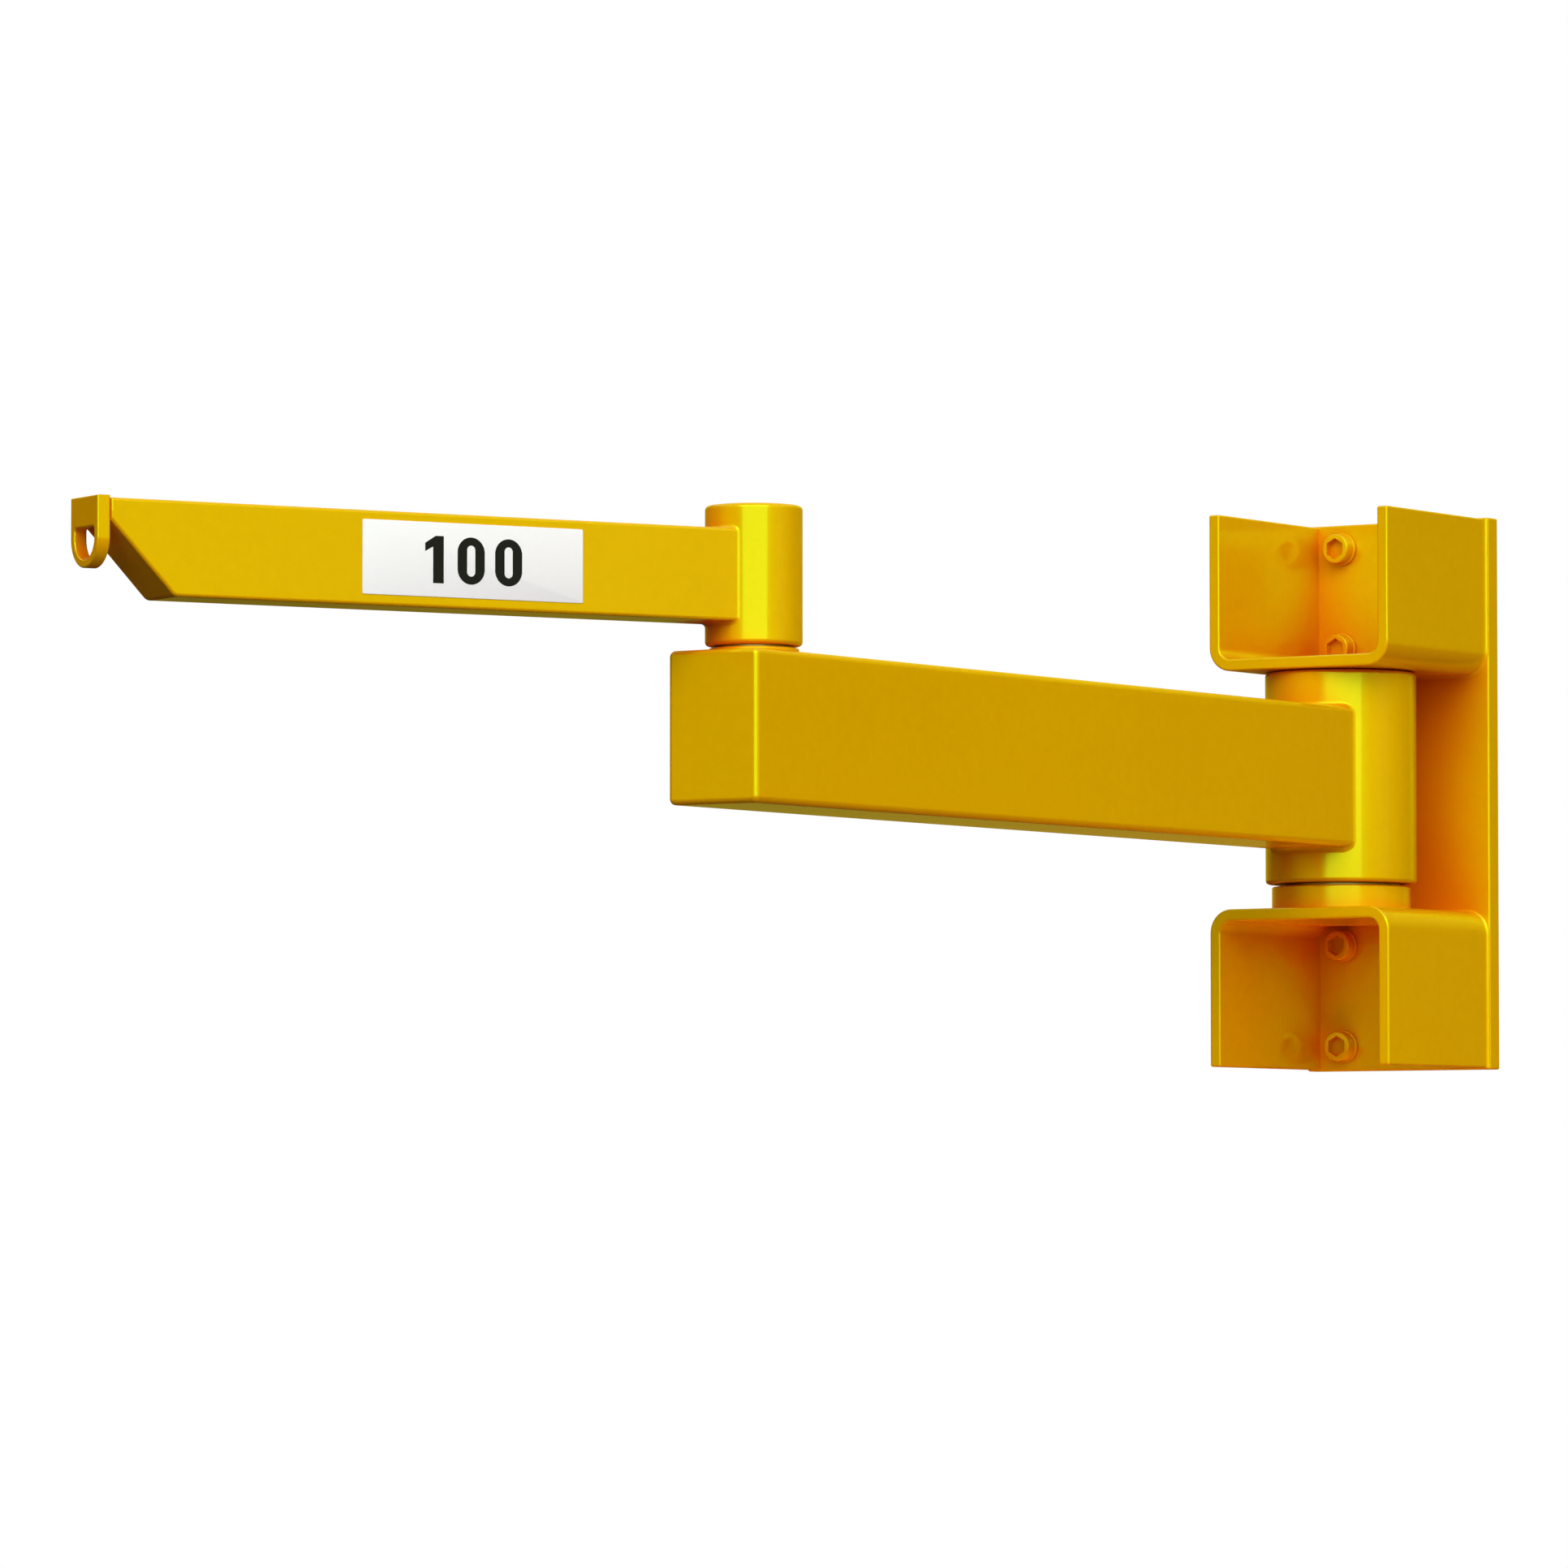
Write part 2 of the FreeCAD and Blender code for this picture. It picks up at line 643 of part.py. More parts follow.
def make_upper_beam():
    """The hollow beam of the upper arm, coped at the elbow and cut on a slant at its outer end."""
    body = new_piece("upper_beam", at_upper_arm)
    make_hollow_beam(body, "upper_beam_width", "upper_beam_wall", "upper_beam_corner", UPPER_BEAM_BOTTOM,
                     UPPER_BEAM_TOP, UPPER_BEAM_END)
    cope(body, "elbow_tube_diameter")
    slant = new_sketch(body, "YZ_Plane")
    draw_polygon(
        slant,
        [
            (f"-{SLOPE_START} + {SLOPE_SET_BACK}", UPPER_BEAM_BOTTOM),
            (f"-{UPPER_BEAM_END}", f"{SLOPE_TOP} + {SLOPE_SET_UP}"),
            (f"-{UPPER_BEAM_END}", UPPER_BEAM_BOTTOM),
        ],
    )
    pocket(body, slant, centred=True)
    end = -present(UPPER_BEAM_END)
    half_inside = present("upper_beam_width / 2 - upper_beam_wall")
    inside_top = present(f"{UPPER_BEAM_TOP} - upper_beam_wall")

    def outer_end(point):
        on_outside = abs(point.x) > half_inside + TOLERANCE or point.z > inside_top + TOLERANCE
        return near(point.y, end) and on_outside

    round_edges(body, "upper_beam_end_radius", outer_end)


def make_eye_plate():
    """The plate across the arm's tip, rounded at the bottom, with a D-shaped eye through it."""
    body = new_piece("eye_plate", at_upper_arm)
    sketch = new_sketch(body, "XZ_Plane", UPPER_BEAM_END)
    draw_u_outline(sketch, "eye_plate_width", EYE_PLATE_TOP, EYE_CENTRE)
    pad(body, sketch, "eye_plate_thickness")
    eye = new_sketch(body, "XZ_Plane", UPPER_BEAM_END)
    draw_u_outline(eye, "eye_width", f"{EYE_CENTRE} + eye_head", EYE_CENTRE)
    pocket(body, eye, reverse=True)
    half_eye = present("eye_width / 2")
    eye_top = present(f"{EYE_CENTRE} + eye_head")
    round_edges(
        body,
        "eye_corner_radius",
        lambda point: near(abs(point.x), half_eye) and near(point.z, eye_top),
    )
    faces = [-present(UPPER_BEAM_END), -present("eye_reach")]
    round_edges(body, "eye_plate_edge_radius", lambda point: any(near(point.y, face) for face in faces))


def make_upper_arm():
    """The elbow tube with its bearings and cap, the hollow beam, its sloped tip and the eye plate."""
    tube = make_ring("elbow_tube", at_upper_arm, "elbow_tube_diameter", ELBOW_TUBE_BORE, ELBOW_TUBE_BOTTOM,
                     "elbow_tube_height")
    round_rim(tube, "elbow_tube_diameter", "elbow_rim_radius", [ELBOW_TUBE_BOTTOM, ELBOW_TUBE_TOP])
    make_disc("elbow_cap", at_upper_arm, f"{ELBOW_TUBE_BORE} - 2 * seat_clearance", ELBOW_CAP_BOTTOM,
              "elbow_cap_thickness")
    upper_bush_bottom = f"{ELBOW_PIN_TOP} - elbow_bush_length"
    for name, bottom in (("elbow_lower_bush", ELBOW_TUBE_BOTTOM), ("elbow_upper_bush", upper_bush_bottom)):
        make_ring(name, at_upper_arm, f"{ELBOW_TUBE_BORE} - 2 * seat_clearance",
                  "elbow_pin_diameter + 2 * running_clearance", bottom, "elbow_bush_length")
    make_upper_beam()
    make_beam_weld("elbow_weld", at_upper_arm, "elbow_tube_diameter", ELBOW_TUBE_BOTTOM, ELBOW_TUBE_TOP,
                   "upper_beam_width", "upper_beam_corner", UPPER_BEAM_BOTTOM, UPPER_BEAM_TOP, "elbow_weld_leg")
    make_slope_plate()
    make_eye_plate()


def check_document():
    """Stop if any feature failed or any piece isn't one valid solid."""
    for item in doc.Objects:
        if {"Invalid", "Error"} & set(item.State):
            raise RuntimeError(f"{item.Name} failed: {item.State}")
    for piece in pieces:
        shape = piece.Shape
        if shape.isNull() or not shape.isValid() or len(shape.Solids) != 1:
            raise RuntimeError(f"{piece.Name} isn't one valid solid")


def write_pieces():
    """Write each piece to a file with its own name."""
    os.makedirs(OUTPUT_FOLDER, exist_ok=True)
    for piece in pieces:
        piece.Label = piece.Name
        piece.Shape.exportStep(f"{OUTPUT_FOLDER}/{piece.Label}.step")
        box = piece.Shape.BoundBox
        print(f"{piece.Label}: {box.XLength:.1f} x {box.YLength:.1f} x {box.ZLength:.1f} mm, "
              f"{piece.Shape.Volume / 1000:.1f} cm3")


fill_sheet()
make_bracket()
make_lower_arm()
make_upper_arm()
doc.recompute()
check_document()
write_pieces()
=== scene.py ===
# %% [markdown]
# An articulated wall jib crane: a bracket on the wall, a lower arm that slews on it and an upper
# arm that slews on the lower one. The construction comes finished from the CAD part. This file
# gives it its paint, its eight fixing screws and its capacity plate, and sets up the studio and
# camera to photograph it.
#
# The CAD part is loaded first and is never moved, because the joints and the checks rely on it.

# %% Load the crane
import json
import math

import bmesh
import bpy
from mathutils import Matrix, Vector


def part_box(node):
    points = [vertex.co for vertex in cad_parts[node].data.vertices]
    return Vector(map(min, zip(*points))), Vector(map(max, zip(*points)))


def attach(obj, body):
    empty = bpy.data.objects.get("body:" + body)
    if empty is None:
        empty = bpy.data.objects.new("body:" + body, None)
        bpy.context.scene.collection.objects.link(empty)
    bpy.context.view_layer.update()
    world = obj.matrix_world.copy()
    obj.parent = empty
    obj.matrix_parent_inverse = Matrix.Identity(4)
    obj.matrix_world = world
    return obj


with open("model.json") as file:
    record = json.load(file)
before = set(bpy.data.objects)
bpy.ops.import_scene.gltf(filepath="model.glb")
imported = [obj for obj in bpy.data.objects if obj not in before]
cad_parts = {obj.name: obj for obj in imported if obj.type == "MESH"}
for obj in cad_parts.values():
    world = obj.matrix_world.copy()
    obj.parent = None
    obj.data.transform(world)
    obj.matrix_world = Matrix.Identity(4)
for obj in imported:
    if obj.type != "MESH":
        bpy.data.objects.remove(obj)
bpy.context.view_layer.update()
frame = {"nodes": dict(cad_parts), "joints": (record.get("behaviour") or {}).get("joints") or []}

MM = 0.001
nodes = frame["nodes"]

# %% [markdown]
# The photograph was taken from below and to the right, from far away through a long lens, so
# that the crane's parallel edges hardly converge. The camera could be aimed with a constraint,
# but a place, a turn and a focal length say the same in three lines and stay as they are. The
# camera is pitched up a little and has no lens shift, so it can be moved round the crane.

# %% Camera
CAMERA_PLACE = (4.354, -7.4976, -0.4477)
CAMERA_TURN = (93.05, 0.0, 34.352)
FOCAL_LENGTH = 194.46

camera_data = bpy.data.cameras.new("camera")
camera_data.sensor_width = 36
camera_data.lens = FOCAL_LENGTH
camera = bpy.data.objects.new("camera", camera_data)
camera.location = CAMERA_PLACE
camera.rotation_euler = [math.radians(a) for a in CAMERA_TURN]
bpy.context.scene.collection.objects.link(camera)
bpy.context.scene.camera = camera
print("camera at", CAMERA_PLACE, "lens", FOCAL_LENGTH)

# %% [markdown]
# The background is plain white. Making it white with lamps would burn out the paint, so the
# world tells rays apart with the Light Path node: the camera, reflections and glass see white of
# strength 1, and every other ray sees a dim sky. It is darkest and warmest below, as over a floor
# that a yellow crane shines on, so the crane's undersides stay dark, as in the photograph. Each
# shade of the sky stands at a share of the way from straight down to straight up.

# %% World
SKY_SHADES = (
    (0.35, (0.06, 0.025, 0.01)),
    (0.5, (0.14, 0.12, 0.11)),
    (0.8, (0.38, 0.38, 0.38)),
)

scene = bpy.context.scene
scene.view_settings.view_transform = "Standard"
world = bpy.data.worlds.new("white_studio")
scene.world = world
world.use_nodes = True
sky = world.node_tree
sky.nodes.clear()


def add_node(tree, kind, place, **values):
    """A node of that kind, with the named settings or sockets filled in."""
    node = tree.nodes.new(kind)
    node.location = place
    for name, value in values.items():
        if hasattr(node, name):
            setattr(node, name, value)
        else:
            node.inputs[name.replace("_", " ")].default_value = value
    return node


def add_math(tree, operation, place, *inputs):
    """A Math node whose inputs are numbers or the sockets that feed it."""
    node = add_node(tree, "ShaderNodeMath", place, operation=operation)
    for slot, value in zip(node.inputs, inputs):
        if isinstance(value, (int, float)):
            slot.default_value = value
        else:
            tree.links.new(value, slot)
    return node.outputs["Value"]


def add_seen_rays(tree, x, y):
    """A mask that is 1 for the rays of the camera, of reflections and of glass."""
    rays = add_node(tree, "ShaderNodeLightPath", (x, y)).outputs
    seen = add_math(tree, "MAXIMUM", (x + 200, y), rays["Is Camera Ray"], rays["Is Glossy Ray"])
    return add_math(tree, "MAXIMUM", (x + 400, y), seen, rays["Is Transmission Ray"])


def paint_ramp(tree, place, stops):
    """A Color Ramp with just those stops, each a share of the ramp and a shade."""
    node = add_node(tree, "ShaderNodeValToRGB", place)
    ramp = node.color_ramp.elements
    for share, shade in stops:
        ramp.new(share).color = (*shade, 1)
    ramp.remove(ramp[0])
    ramp.remove(ramp[-1])
    return node


seen = add_seen_rays(sky, -800, 300)
direction = add_node(sky, "ShaderNodeTexCoord", (-800, 0))
height = add_node(sky, "ShaderNodeSeparateXYZ", (-600, 0))
sky.links.new(direction.outputs["Generated"], height.inputs["Vector"])
upward = add_node(sky, "ShaderNodeMapRange", (-400, 0))
upward.inputs["From Min"].default_value = -1.0
sky.links.new(height.outputs["Z"], upward.inputs["Value"])
dim = paint_ramp(sky, (-250, 0), SKY_SHADES)
sky.links.new(upward.outputs["Result"], dim.inputs["Fac"])
dim_sky = add_node(sky, "ShaderNodeBackground", (-100, 0))
sky.links.new(dim.outputs["Color"], dim_sky.inputs["Color"])
white_sky = add_node(sky, "ShaderNodeBackground", (-100, 200), Color=(1, 1, 1, 1), Strength=1.0)
either = add_node(sky, "ShaderNodeMixShader", (100, 150))
sky.links.new(seen, either.inputs["Fac"])
sky.links.new(dim_sky.outputs[0], either.inputs[1])
sky.links.new(white_sky.outputs[0], either.inputs[2])
world_out = add_node(sky, "ShaderNodeOutputWorld", (300, 150))
sky.links.new(either.outputs[0], world_out.inputs["Surface"])
print("world: white for the camera, a dim sky of", len(SKY_SHADES), "shades for diffuse light")

# %% [markdown]
# The crane hangs on a wall that isn't shown, so the floor lies well below it. A single large
# sheet is enough for a floor. It is pale and matt and catches the shadow, and farther out it fades
# to the white of the background, so that no horizon shows. Its under face is clear, so that a view
# from below looks through it.

# %% Floor
FLOOR_HEIGHT = -1.6
FLOOR_REACH = 16.0
FLOOR_COLOUR = (0.8, 0.8, 0.8, 1)
FLOOR_ROUGHNESS = 0.9
FLOOR_SIDES = 96
FADE_FROM, FADE_TO = 2.5, 8.0
WHITE_SHARE = 0.5


def new_material(name):
    """An empty node material with its output, and the tree to fill."""
    material = bpy.data.materials.new(name)
    material.use_nodes = True
    tree = material.node_tree
    tree.nodes.clear()
    out = add_node(tree, "ShaderNodeOutputMaterial", (600, 0))
    return material, tree, out


def add_object(name, mesh):
    """A new object at the origin that shows this mesh."""
    obj = bpy.data.objects.new(name, mesh)
    bpy.context.scene.collection.objects.link(obj)
    return obj


def make_floor():
    """The pale floor, one round sheet."""
    bm = bmesh.new()
    bmesh.ops.create_circle(bm, segments=FLOOR_SIDES, radius=FLOOR_REACH, cap_ends=True)
    bmesh.ops.translate(bm, vec=(0, 0, FLOOR_HEIGHT), verts=bm.verts)
    mesh = bpy.data.meshes.new("floor")
    bm.to_mesh(mesh)
    bm.free()
    material, tree, out = new_material("pale_floor")
    matt = add_node(tree, "ShaderNodeBsdfPrincipled", (0, 0), Base_Color=FLOOR_COLOUR)
    matt.inputs["Roughness"].default_value = FLOOR_ROUGHNESS
    white = add_node(tree, "ShaderNodeEmission", (0, -300))
    place = add_node(tree, "ShaderNodeTexCoord", (-800, -500))
    away = add_node(tree, "ShaderNodeVectorMath", (-600, -500), operation="LENGTH")
    fade = add_node(tree, "ShaderNodeMapRange", (-400, -500), interpolation_type="SMOOTHSTEP")
    for side, value in (("From Min", FADE_FROM), ("From Max", FADE_TO), ("To Min", WHITE_SHARE)):
        fade.inputs[side].default_value = value
    tree.links.new(place.outputs["Object"], away.inputs[0])
    tree.links.new(away.outputs["Value"], fade.inputs["Value"])
    seen = add_seen_rays(tree, -800, -200)
    share = add_math(tree, "MULTIPLY", (-200, -200), seen, fade.outputs["Result"])
    pale = add_node(tree, "ShaderNodeMixShader", (200, 0))
    tree.links.new(share, pale.inputs["Fac"])
    tree.links.new(matt.outputs[0], pale.inputs[1])
    tree.links.new(white.outputs[0], pale.inputs[2])
    clear = add_node(tree, "ShaderNodeBsdfTransparent", (200, 200))
    face = add_node(tree, "ShaderNodeNewGeometry", (200, 400))
    mix = add_node(tree, "ShaderNodeMixShader", (400, 0))
    tree.links.new(face.outputs["Backfacing"], mix.inputs["Fac"])
    tree.links.new(pale.outputs[0], mix.inputs[1])
    tree.links.new(clear.outputs[0], mix.inputs[2])
    tree.links.new(mix.outputs[0], out.inputs["Surface"])
    mesh.materials.append(material)
    floor = add_object("floor", mesh)
    floor.visible_diffuse = False
    return floor


floor = make_floor()
print(floor.name, "at", FLOOR_HEIGHT, "m")

# %% [markdown]
# The light is that of a plain product studio. A long, low strip behind the camera draws the
# bright band down the middle of both tubes: its width sets the width of the band. A broad box
# above it gives most of the light, two dimmer ones fill from the right, one level and one low, and
# two small gold ones near the floor reach into the lower channel. Two more stand behind, for
# whoever walks round the crane. Area lamps are used because a glossy paint mirrors their
# shape, which a point or a sun lamp doesn't have. The far lamps are all as far away, and are given
# by the angles that they cover, as a painter measures with a thumb.

# %% Lamps
AIM = Vector((-0.15, -0.9, 0.05))
CAMERA_SIDE = 34.35
LAMP_DISTANCE = 11.0
GOLD_LIGHT = (1.0, 0.45, 0.1)

# Azimuth, elevation, degrees across, degrees up and radiance, and whether the paint mirrors it
FAR_BOXES = {
    "front_strip": (CAMERA_SIDE + 3, 8, 66, 14, 2.0, True),
    "front_top_box": (CAMERA_SIDE, 36, 62, 34, 3.2, True),
    "right_box": (CAMERA_SIDE + 58, 12, 46, 28, 1.0, False),
    "back_left_box": (CAMERA_SIDE - 152, 20, 56, 30, 2.0, False),
    "back_right_box": (CAMERA_SIDE + 152, 20, 56, 30, 2.0, False),
}

# Azimuth, elevation, distance, width and height in metres, and radiance
LOW_RIGHT_BOX = (90, -55, 1.6, 1.0, 0.7, 1.1)

# Place, side in metres and radiance
FLOOR_BOXES = {
    "bracket_box": ((0.05, -0.28, -0.95), 0.5, 2.1),
    "floor_box": ((0.1, -0.2, -1.2), 0.9, 1.8),
}


def add_softbox(name, azimuth, elevation, distance, width, height, radiance, colour=(1, 1, 1)):
    """A rectangular lamp that looks at the crane. Azimuth 0 stands in front of the wall."""
    lamp = bpy.data.lights.new(name, "AREA")
    lamp.color = colour
    lamp.shape = "RECTANGLE"
    lamp.size = width
    lamp.size_y = height
    lamp.energy = radiance * math.pi * width * height
    obj = bpy.data.objects.new(name, lamp)
    turn, rise = math.radians(azimuth), math.radians(elevation)
    back = Vector((math.sin(turn) * math.cos(rise), -math.cos(turn) * math.cos(rise), math.sin(rise)))
    obj.location = AIM + back * distance
    obj.rotation_euler = back.to_track_quat("Z", "Y").to_euler()
    obj.visible_camera = False
    bpy.context.scene.collection.objects.link(obj)
    return obj


def span(degrees):
    """How wide a lamp has to be to cover that many degrees, seen from the crane."""
    return 2 * LAMP_DISTANCE * math.tan(math.radians(degrees) / 2)


def add_floor_box(name, place, side, radiance):
    """A square, gold lit lamp that points straight up, and that the paint doesn't mirror."""
    obj = add_softbox(name, 0, 0, 0, side, side, radiance, GOLD_LIGHT)
    obj.location = place
    obj.rotation_euler = (math.radians(180), 0, 0)
    obj.visible_glossy = False
    return obj


for box_name, (azimuth, elevation, across, up, radiance, mirrored) in FAR_BOXES.items():
    size = (span(across), span(up))
    box = add_softbox(box_name, azimuth, elevation, LAMP_DISTANCE, *size, radiance)
    box.visible_glossy = mirrored
add_softbox("low_right_box", *LOW_RIGHT_BOX).visible_glossy = False
for box_name, (place, side, radiance) in FLOOR_BOXES.items():
    add_floor_box(box_name, place, side, radiance)

# %% [markdown]
# White seen in glossy paint turns it chalky, so a photographer hangs cloth round the set. Here a
# glowing gold curtain stands all round. It is no lamp but an emitting sheet, and its painted light
# is brightest on the camera's side, where the end faces and the tubes mirror it, and darker behind.
# A black cloth lies below, a dark sheet that keeps the undersides' reflections dark. A colour ramp
# over the angle round the crane paints the curtain's light, so that its shades run into each other.
# A second ramp paints a shadow on it towards the floor and brightens it towards the top, where the
# beams' upper edges mirror it. Only reflections see the cloths: they aren't in the picture and take
# no light away.

# %% Curtain and floor cloth
CLOTH_REACH = 12.5
CLOTH_SIDES = 64
CLOTH_ABOVE_FLOOR = 0.05
CLOTH_BLACK = (0.01, 0.01, 0.01, 1)
CURTAIN_TOP = 9.0

# Height in metres, and how bright the curtain is there
CURTAIN_HEIGHTS = ((-1.2, 0.0), (-0.2, 1.0), (1.5, 1.0), (5.5, 1.9))

# Degrees round the crane from the camera's side, and the shade there
CURTAIN_SHADES = (
    (-124, (0.06, 0.02, 0)),
    (-95, (0.08, 0.03, 0)),
    (-70, (0.7, 0.55, 0)),
    (-38, (0.9, 0.8, 0)),
    (-29, (0.8, 1.6, 0.5)),
    (36, (0.8, 1.6, 0.5)),
    (44, (0.9, 1.1, 0)),
    (62, (0.8, 0.88, 0.35)),
    (85, (0.6, 0.6, 0)),
    (111, (0.4, 0.35, 0)),
    (160, (0.5, 0.4, 0.03)),
    (180, (0.65, 0.6, 0.05)),
    (200, (0.45, 0.3, 0.02)),
    (225, (0.06, 0.02, 0)),
)


def stage_cloth(name, bm, material):
    """A cloth that only reflections see."""
    mesh = bpy.data.meshes.new(name)
    bm.to_mesh(mesh)
    bm.free()
    mesh.materials.append(material)
    cloth = add_object(name, mesh)
    cloth.visible_camera = False
    cloth.visible_diffuse = False
    cloth.visible_transmission = False
    cloth.visible_shadow = False
    return cloth


def make_floor_cloth():
    """The black cloth below the crane."""
    bm = bmesh.new()
    bmesh.ops.create_circle(bm, segments=CLOTH_SIDES, radius=CLOTH_REACH, cap_ends=True)
    middle = (AIM.x, AIM.y, FLOOR_HEIGHT + CLOTH_ABOVE_FLOOR)
    bmesh.ops.translate(bm, vec=middle, verts=bm.verts)
    material, tree, out = new_material("black_cloth")
    cloth = add_node(tree, "ShaderNodeBsdfPrincipled", (300, 0), Base_Color=CLOTH_BLACK, Roughness=1.0)
    cloth.inputs["Specular IOR Level"].default_value = 0.0
    tree.links.new(cloth.outputs[0], out.inputs["Surface"])
    return stage_cloth("floor_cloth", bm, material)


def make_curtain():
    """The glowing gold curtain, its painted light shaded by the angle round the crane from the
    camera's side.
    """
    bm = bmesh.new()
    pole = [bm.verts.new((CLOTH_REACH, 0, z)) for z in (FLOOR_HEIGHT, CURTAIN_TOP)]
    bmesh.ops.spin(
        bm, geom=[*pole, bm.edges.new(pole)], cent=(0, 0, 0), axis=(0, 0, 1), dvec=(0, 0, 0),
        angle=2 * math.pi, steps=CLOTH_SIDES, use_merge=True, use_duplicate=False,
    )
    bmesh.ops.translate(bm, vec=(AIM.x, AIM.y, 0), verts=bm.verts)
    material, tree, out = new_material("gold_curtain")
    place = add_node(tree, "ShaderNodeTexCoord", (-900, 0))
    centre = add_node(tree, "ShaderNodeMapping", (-700, 0))
    centre.inputs["Location"].default_value = (-AIM.x, -AIM.y, 0)
    around = add_node(tree, "ShaderNodeTexGradient", (-500, 0), gradient_type="RADIAL")
    stops = [((angle + CAMERA_SIDE + 90) / 360, shade) for angle, shade in CURTAIN_SHADES]
    shades = paint_ramp(tree, (-300, 0), stops)
    upright = add_node(tree, "ShaderNodeSeparateXYZ", (-500, -250))
    share = add_node(tree, "ShaderNodeMapRange", (-300, -250))
    share.inputs["From Min"].default_value = FLOOR_HEIGHT
    share.inputs["From Max"].default_value = CURTAIN_TOP
    drop = CURTAIN_TOP - FLOOR_HEIGHT
    stops = [((height - FLOOR_HEIGHT) / drop, [light] * 3) for height, light in CURTAIN_HEIGHTS]
    rising = paint_ramp(tree, (-300, -450), stops)
    # painted light: the curtain glows by emission, and the two ramps paint its shades and the shadow
    # at its foot
    glow = add_node(tree, "ShaderNodeEmission", (0, 0))
    tree.links.new(place.outputs["Object"], upright.inputs["Vector"])
    tree.links.new(upright.outputs["Z"], share.inputs["Value"])
    tree.links.new(share.outputs["Result"], rising.inputs["Fac"])
    tree.links.new(rising.outputs["Color"], glow.inputs["Strength"])
    tree.links.new(place.outputs["Object"], centre.inputs["Vector"])
    tree.links.new(centre.outputs["Vector"], around.inputs["Vector"])
    tree.links.new(around.outputs["Fac"], shades.inputs["Fac"])
    tree.links.new(shades.outputs["Color"], glow.inputs["Color"])
    tree.links.new(glow.outputs[0], out.inputs["Surface"])
    return stage_cloth("gold_curtain", bm, material)


floor_cloth = make_floor_cloth()
curtain = make_curtain()
print("cloths:", floor_cloth.name, "and", curtain.name, "with", len(CURTAIN_SHADES), "shades")

# %% [markdown]
# Steel parts like these are powder coated. Melted powder levels out to a hard, glossy skin that
# keeps a faint orange peel, and its colour is never quite even. Both effects could be painted as
# images, but noise in object space needs no unwrapping and has a real size on every piece. They
# go into two node groups, so that each painted material can place them with its own values. A
# noise is grey on average, so the colour's swing is stretched over the middle of its range.

# %% Node groups for the paint
NOISE_LOW, NOISE_HIGH = 0.7, 1.3


def new_group(name, inputs, outputs):
    """A shader node group with those sockets, and its input and output nodes."""
    tree = bpy.data.node_groups.new(name, "ShaderNodeTree")
    for label, kind, value in inputs:
        socket = tree.interface.new_socket(label, in_out="INPUT", socket_type=kind)
        socket.default_value = value
    for label, kind in outputs:
        tree.interface.new_socket(label, in_out="OUTPUT", socket_type=kind)
    entry = add_node(tree, "NodeGroupInput", (-900, 0))
    leave = add_node(tree, "NodeGroupOutput", (600, 0))
    return tree, entry, leave


def make_uneven_colour():
    """A colour that drifts in wide clouds and fine mottles between a thick and a thin coat."""
    tree, entry, leave = new_group(
        "uneven_colour",
        [
            ("Thick", "NodeSocketColor", (0.8, 0.5, 0, 1)),
            ("Thin", "NodeSocketColor", (0.9, 0.6, 0, 1)),
            ("Clouds", "NodeSocketFloat", 5.0),
            ("Mottles", "NodeSocketFloat", 60.0),
        ],
        [("Colour", "NodeSocketColor"), ("Amount", "NodeSocketFloat")],
    )
    place = add_node(tree, "ShaderNodeTexCoord", (-900, 300))
    clouds = add_node(tree, "ShaderNodeTexNoise", (-600, 300), Detail=3.0)
    mottles = add_node(tree, "ShaderNodeTexNoise", (-600, 0), Detail=4.0, Roughness=0.6)
    for noise, label in ((clouds, "Clouds"), (mottles, "Mottles")):
        tree.links.new(place.outputs["Object"], noise.inputs["Vector"])
        tree.links.new(entry.outputs[label], noise.inputs["Scale"])
    both = add_math(tree, "ADD", (-300, 200), clouds.outputs["Fac"], mottles.outputs["Fac"])
    spread = add_node(tree, "ShaderNodeMapRange", (-100, 200))
    spread.inputs["From Min"].default_value = NOISE_LOW
    spread.inputs["From Max"].default_value = NOISE_HIGH
    tree.links.new(both, spread.inputs["Value"])
    mix = add_node(tree, "ShaderNodeMix", (200, 100), data_type="RGBA")
    tree.links.new(spread.outputs["Result"], mix.inputs["Factor"])
    tree.links.new(entry.outputs["Thick"], mix.inputs["A"])
    tree.links.new(entry.outputs["Thin"], mix.inputs["B"])
    tree.links.new(mix.outputs["Result"], leave.inputs["Colour"])
    tree.links.new(spread.outputs["Result"], leave.inputs["Amount"])
    return tree


def make_orange_peel():
    """Heights of the dimpled skin of a sprayed coat."""
    tree, entry, leave = new_group(
        "orange_peel",
        [("Dimples", "NodeSocketFloat", 260.0), ("Waves", "NodeSocketFloat", 70.0)],
        [("Height", "NodeSocketFloat")],
    )
    place = add_node(tree, "ShaderNodeTexCoord", (-900, 300))
    dimples = add_node(tree, "ShaderNodeTexNoise", (-600, 300), Detail=2.0, Roughness=0.5)
    waves = add_node(tree, "ShaderNodeTexNoise", (-600, 0), Detail=1.0, Roughness=0.4)
    for noise, label in ((dimples, "Dimples"), (waves, "Waves")):
        tree.links.new(place.outputs["Object"], noise.inputs["Vector"])
        tree.links.new(entry.outputs[label], noise.inputs["Scale"])
    both = add_math(tree, "ADD", (-300, 200), dimples.outputs["Fac"], waves.outputs["Fac"])
    tree.links.new(both, leave.inputs["Height"])
    return tree


uneven_colour = make_uneven_colour()
orange_peel = make_orange_peel()
print("node groups:", [g.name for g in bpy.data.node_groups])
